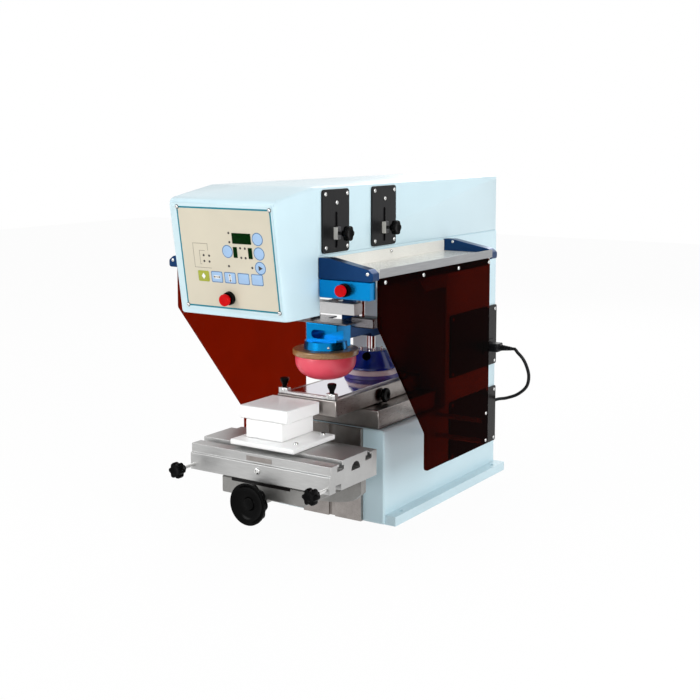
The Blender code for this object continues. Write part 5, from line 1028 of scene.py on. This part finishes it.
# Guides, stroke cylinder and carriage
# Hard chromed rods and an air cylinder along the arm; the carriage is a milled aluminium block
# that runs on them.

hard_chrome = new_finish("hard_chrome", (0.72, 0.72, 0.73), 0.07, 1.0)
add_grain(hard_chrome, 0.003, gloss=0.03)
milled_aluminium = new_finish("milled_aluminium", (0.6, 0.6, 0.6), 0.32, 1.0, Anisotropic=0.4)
add_grain(milled_aluminium, 0.0005, stretch=(0.03, 1, 1), relief=0.000003, shade=0.06, gloss=0.06)
add_grain(milled_aluminium, 0.03, shade=0.05)


def chrome_bar(name, node, body):
    """Ground and chromed bar in the place of a node whose longest side is its axis."""
    low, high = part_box(node)
    size = high - low
    length, radius = max(size), min(size) / 2
    edge = 0.0006
    axis = "+" + "XYZ"[list(size).index(length)]
    profile = (
        (0, 0), (radius - edge, 0), (radius, edge), (radius, length - edge),
        (radius - edge, length), (0, length),
    )
    shape = turned(profile, seat(node, axis), axis, 40)
    as_piece(name, shape, hard_chrome, body, "hard_chrome", node)


for side in ("left", "right"):
    chrome_bar("guide_bar_" + side, "guide_rod_" + side, "frame")
    chrome_bar("press_bar_" + side, "press_rod_" + side, "pad_press")
eased_copy("stroke_tube", "stroke_cylinder", milled_aluminium, 0.0005)
eased_copy("carriage_body", "carriage_block", milled_aluminium, 0.0006)
eased_copy("lift_cylinder", "press_cylinder", milled_aluminium, 0.0006)


# Press plate, yoke and pad holder
# Dark plate with a notch at its back, hung on the chromed bars under a milled yoke. The azure
# holder below it has a finger slot and stands on a round flange.

slate_anodising = new_finish("slate_anodising", (0.2, 0.19, 0.2), 0.26, 1.0)
add_grain(
    slate_anodising, 0.0008, stretch=(0.05, 1, 1), relief=0.000006, shade=0.35, gloss=0.08,
    detail=5,
)
eased_copy("press_table", "press_plate", slate_anodising, 0.0006)
eased_copy("yoke_block", "press_yoke", milled_aluminium, 0.0006)
# The holder takes the azure copy of the blue anodising: painted light.
eased_copy("holder_block", "pad_holder", lit_blue_anodising, 0.0007)
turn = Matrix.Translation((0.0272, -0.1224, 0.3365)) @ Matrix.Rotation(math.radians(41), 4, "Z")
screw_piece(
    "holder_set_screw", "pad_press", [(0.0026, 0.0016, (0, 0, 0))],
    turn=turn @ Matrix.Rotation(math.pi / 2, 4, "X"),
)


# Print pad
# Smooth dome of soft pink silicone, cast onto a turned and varnished wooden disc that sits under
# the holder's flange.

varnished_wood = new_finish(
    "varnished_wood", (0.36, 0.19, 0.065), 0.3, Coat_Weight=0.5, Coat_Roughness=0.12,
)
add_grain(varnished_wood, 0.0022, stretch=(0.07, 1, 1), relief=0.00004, shade=0.22, gloss=0.06)
add_grain(varnished_wood, 0.02, stretch=(0.3, 1, 1), shade=0.16)
PAD_MIDDLE_Y = -0.0914
PAD_TOP = 0.3179
PAD_RADIUS = 0.057
PAD_BAND = 0.01
PAD_DOME = 0.0362
backing_shape = turned(
    (
        (0, 0), (0.059, 0), (0.0606, 0.0006), (0.0616, 0.0018), (0.062, 0.0032), (0.062, 0.01),
        (0.0614, 0.0112), (0.0602, 0.0119), (0.059, 0.012), (0, 0.012),
    ),
    (0, PAD_MIDDLE_Y, PAD_TOP + 0.0003), steps=96,
)
as_piece("pad_disc", backing_shape, varnished_wood, "pad_press", "varnished_wood", "pad_backing")

pink_silicone = new_finish(
    "pink_silicone", (1.0, 0.1, 0.155), 0.36, Subsurface_Weight=0.12, Subsurface_Scale=0.006,
    Coat_Weight=0.06, Coat_Roughness=0.3,
)
add_grain(pink_silicone, 0.05, shade=0.05)
add_grain(pink_silicone, 0.0015, relief=0.00002, gloss=0.05)
dome_profile = [(0, 0), (PAD_RADIUS - 0.0004, 0), (PAD_RADIUS, -0.0006), (PAD_RADIUS, -PAD_BAND)]
for step in range(1, 29):
    angle = math.pi / 2 * step / 28
    across = PAD_RADIUS * math.cos(angle) ** 0.78 if step < 28 else 0
    dome_profile.append((across, -PAD_BAND - PAD_DOME * math.sin(angle)))
dome_shape = turned(dome_profile, (0, PAD_MIDDLE_Y, PAD_TOP), steps=96)
as_piece(
    "pad_dome", dome_shape, pink_silicone, "pad_press", "pad_silicone", "print_pad", crease=50,
)


# Ink cup
# Blue cup mouth down on the cliche: a white doctoring ring whose lower band is painted violet as
# a painted reflection, a domed blue shell with a black filler plug and four screws, and a steel
# post up to the cup arm.

cup_blue = new_finish(
    "cup_blue", (0.003, 0.028, 0.33), 0.18, Specular_IOR_Level=0.4, Coat_Weight=0.25,
    Coat_Roughness=0.05,
)
add_grain(cup_blue, 0.02, shade=0.08, gloss=0.04)
ring_profile = (
    (0.043, 0.0167), (0.047, 0.0167), (0.0484, 0.016), (0.0526, 0.008), (0.043, 0.008),
    (0.043, 0.0167),
)
# Lower band of the same white ring, coloured violet: a painted reflection.
reflection_band_profile = (
    (0.043, 0.008), (0.0526, 0.008), (0.0536, 0.0062), (0.0547, 0.004), (0.0547, 0.0006),
    (0.0541, 0), (0.0477, 0), (0.043, 0.008),
)
CUP_MIDDLE_Y = 0.0706
CUP_FOOT = 0.2503
SHELL_FOOT = 0.2673
SHELL_HEIGHT = 0.036
for name, profile, tone, colour in (
    ("doctor_ring", ring_profile, "cup_white", (0.95, 0.92, 0.97)),
    ("doctor_ring_reflection_band", reflection_band_profile, "painted_cup_reflection", (0.11, 0.11, 0.46)),
):
    finish = new_finish(tone, colour, 0.34, Coat_Weight=0.1)
    add_grain(finish, 0.001, relief=0.00001, shade=0.03)
    shape = turned(profile, (0, CUP_MIDDLE_Y, CUP_FOOT), steps=96)
    as_piece(name, shape, finish, "ink_cup", "cup_white", "cup_ring")
shell_profile = [(0, 0), (0.0458, 0), (0.0467, 0.0009), (0.0467, 0.004)]
for step in range(1, 10):
    share = step / 9
    shell_profile.append((0.0467 - 0.0167 * share**0.9, 0.004 + 0.031 * share**1.05))
shell_profile += [(0.029, SHELL_HEIGHT - 0.0002), (0.0275, SHELL_HEIGHT), (0, SHELL_HEIGHT)]
shell_shape = turned(shell_profile, (0, CUP_MIDDLE_Y, SHELL_FOOT), steps=96)
as_piece("cup_shell", shell_shape, cup_blue, "ink_cup", "cup_blue", "cup_dome")
plug_shape = turned(
    (
        (0, -0.003), (0.0085, -0.003), (0.0085, 0.0014), (0.0076, 0.0022), (0.005, 0.0024),
        (0, 0.002),
    ),
    steps=40,
)
plug_turn = Vector((0.2275, -0.8505, 0.4743)).to_track_quat("Z", "Y").to_matrix().to_4x4()
moved(plug_shape, Matrix.Translation((0.0087, 0.0379, 0.2942)) @ plug_turn)
as_piece("filler_plug", plug_shape, black_moulding, "ink_cup", "black_plastic", "cup_dome")
heads = []
for index in range(4):
    angle = math.pi / 4 + index * math.pi / 2
    x, y = 0.02 * math.cos(angle), CUP_MIDDLE_Y + 0.02 * math.sin(angle)
    heads.append((0.0034, 0.0053, (x, y, SHELL_FOOT + SHELL_HEIGHT), "+Z", 0.15))
screw_piece("cup_screws", "ink_cup", heads, "cup_dome")
chrome_bar("cup_stud", "cup_post", "carriage")
# The cup arm takes the navy copy of the blue anodising: painted shade.
eased_copy("cup_bracket", "cup_arm", shaded_blue_anodising, 0.0007)


# Cliche bed
# Surface-ground steel base and bed that carry the etched plate, with a clamp bar across the front,
# two conical thumb screws and a knurled adjusting knob on the right.

ground_steel = new_finish("ground_steel", (0.31, 0.285, 0.27), 0.32, 1.0, Anisotropic=0.3)
add_grain(ground_steel, 0.0006, stretch=(1, 0.05, 1), relief=0.000006, shade=0.1, gloss=0.08)
add_grain(ground_steel, 0.02, shade=0.14)
polished_steel = new_finish("polished_steel", (0.62, 0.6, 0.66), 0.1, 1.0)
add_grain(polished_steel, 0.0008, stretch=(1, 0.05, 1), gloss=0.05, shade=0.04)
eased_copy("bed_foot", "cliche_base", ground_steel, 0.0007)
eased_copy("bed_body", "cliche_bed", ground_steel, 0.0008)
eased_copy("etched_plate", "cliche_plate", polished_steel, 0.0002)
eased_copy("plate_clamp", "clamp_bar", milled_aluminium, 0.0005)
heads = [(0.0036, 0.0014, (x, -0.1554, 0.2545), "-Y") for x in (-0.053, 0.053)]
screw_piece("clamp_screws", "frame", heads)
thumb_profile = (
    (0, 0), (0.0045, 0), (0.0045, 0.0036), (0.0056, 0.0064), (0.0077, 0.0108), (0.0084, 0.014),
    (0.0085, 0.0158), (0.008, 0.0172), (0.0066, 0.018), (0.004, 0.0177), (0, 0.0176),
)
for side in ("left", "right"):
    grip = turned(thumb_profile, steps=72)
    fluted(grip, count=18, depth=0.045, inner=0.0054, top=0.017)
    placed(grip, seat("thumb_screw_" + side, "+Z"))
    grip_piece("thumb_grip_" + side, grip, "thumb_screw_" + side)
grip = hand_knob(0.0141, 0.011, 12, 0.05, seat("bed_knob", "+X"), "+X", 0.2)
grip_piece("bed_grip", grip, "bed_knob")


# Slide ways, knee and saddle
# Grey casting that climbs the ground ways on the column's front, with a black strip of painted
# shade across the top of its front, under the table, and a dark saddle plate on top.

cast_grey = new_finish("cast_grey", (0.28, 0.275, 0.265), 0.48, 0.85)
add_grain(cast_grey, 0.0014, relief=0.00006, shade=0.14, gloss=0.08, detail=5)
add_grain(cast_grey, 0.03, shade=0.1)
eased_copy("column_ways", "slide_ways", ground_steel, 0.0006)
eased_copy("lifting_knee", "knee", cast_grey, 0.0008)
# Black strip of painted shade where the table's apron shades the knee's front.
knee_shade_shape = block((-0.067, -0.292, 0.114), (0.061, -0.291, 0.1196), 0.0002, 1)
as_piece("knee_painted_shade", knee_shade_shape, black_paint, "knee", "black_steel")
eased_copy("cross_saddle", "saddle", black_paint)


# Handwheel
# Black moulded wheel: a smooth dished flange in front, a hub boss, and a scalloped grip behind it,
# pinned on the lifting screw's shaft.

WHEEL_BACK = -0.3129
wheel_profile = (
    (0, 0.0179), (0.009, 0.0179), (0.0102, 0.0174), (0.0108, 0.0156), (0.0125, 0.014),
    (0.019, 0.013), (0.026, 0.014), (0.031, 0.0169), (0.0331, 0.0207), (0.0348, 0.022),
    (0.0365, 0.0219), (0.0373, 0.021), (0.0373, 0.0176), (0.0362, 0.016), (0.033, 0.015),
    (0.0326, 0.0142), (0.0338, 0.0136), (0.0345, 0.0122), (0.0345, 0.007), (0.0328, 0.005),
    (0.03, 0.0022), (0.025, 0.0024), (0.016, 0.0034), (0.0135, 0.003), (0.013, 0), (0.007, 0),
    (0.007, -0.0209), (0, -0.0209),
)
wheel_shape = turned(wheel_profile, steps=120)
fluted(wheel_shape, count=9, depth=0.1, inner=0.0295, top=0.0138, power=1.3)
placed(wheel_shape, (0, WHEEL_BACK, seat("handwheel", "-Y").z), "-Y")
grip_piece("lift_wheel", wheel_shape, "handwheel")


# Work table
# Milled aluminium table with two T-slots along it, a bare plate on its front apron, and a star
# knob on a steel stem at each end of the apron.

table_aluminium = new_finish("table_aluminium", (0.47, 0.47, 0.465), 0.44, 1.0)
add_grain(table_aluminium, 0.0006, stretch=(0.03, 1, 1), relief=0.000006, shade=0.1, gloss=0.06)
add_grain(table_aluminium, 0.04, stretch=(0.4, 1, 1), shade=0.06)
eased_copy("slotted_table", "t_slot_table", table_aluminium, 0.0006)

tag_shape = block((-0.027, -0.3005, 0.159), (0.028, -0.2996, 0.1675), 0.0002, 1)
as_piece("table_tag", tag_shape, ground_steel, "table", "ground_steel")
screw_piece("table_front_screw", "table", [(0.0062, 0.0036, (-0.001, -0.3033, 0.1437), "-Y")])
KNOB_LENGTH = 0.025
for side in ("left", "right"):
    node = "table_knob_" + side
    stem_end = seat(node, "-Y")
    knob_back = (stem_end.x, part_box(node)[0].y + KNOB_LENGTH, stem_end.z)
    grip = hand_knob(0.015, KNOB_LENGTH, 6, 0.24, knob_back, "-Y", 0.1, 96)
    grip_piece("table_grip_" + side, grip, node)
    stem = turned(((0, 0), (0.0033, 0), (0.0033, 0.0287), (0, 0.0287)), stem_end, "-Y", 24)
    as_piece("table_stem_" + side, stem, bright_steel, node, "polished_steel", node)


# Printing jig
# Block of milky nylon on a flanged plate, screwed to the table, with a loose cap that carries the
# article.

milky_nylon = new_finish(
    "milky_nylon", (0.97, 0.97, 0.965), 0.34, Subsurface_Weight=0.3, Subsurface_Radius=(1, 1, 1),
    Subsurface_Scale=0.01,
)
add_grain(milky_nylon, 0.0012, stretch=(0.1, 1, 1), relief=0.00002, gloss=0.05, shade=0.015)
eased_copy("jig_base", "jig_plate", milky_nylon, 0.0008)
eased_copy("jig_body", "jig_block", milky_nylon, 0.0008)
eased_copy("jig_lid", "jig_cap", milky_nylon, 0.001)
screw_piece("jig_screws", "table", [(0.005, 0.0036, (0.0465, y, 0.187)) for y in (-0.2539, -0.17)])
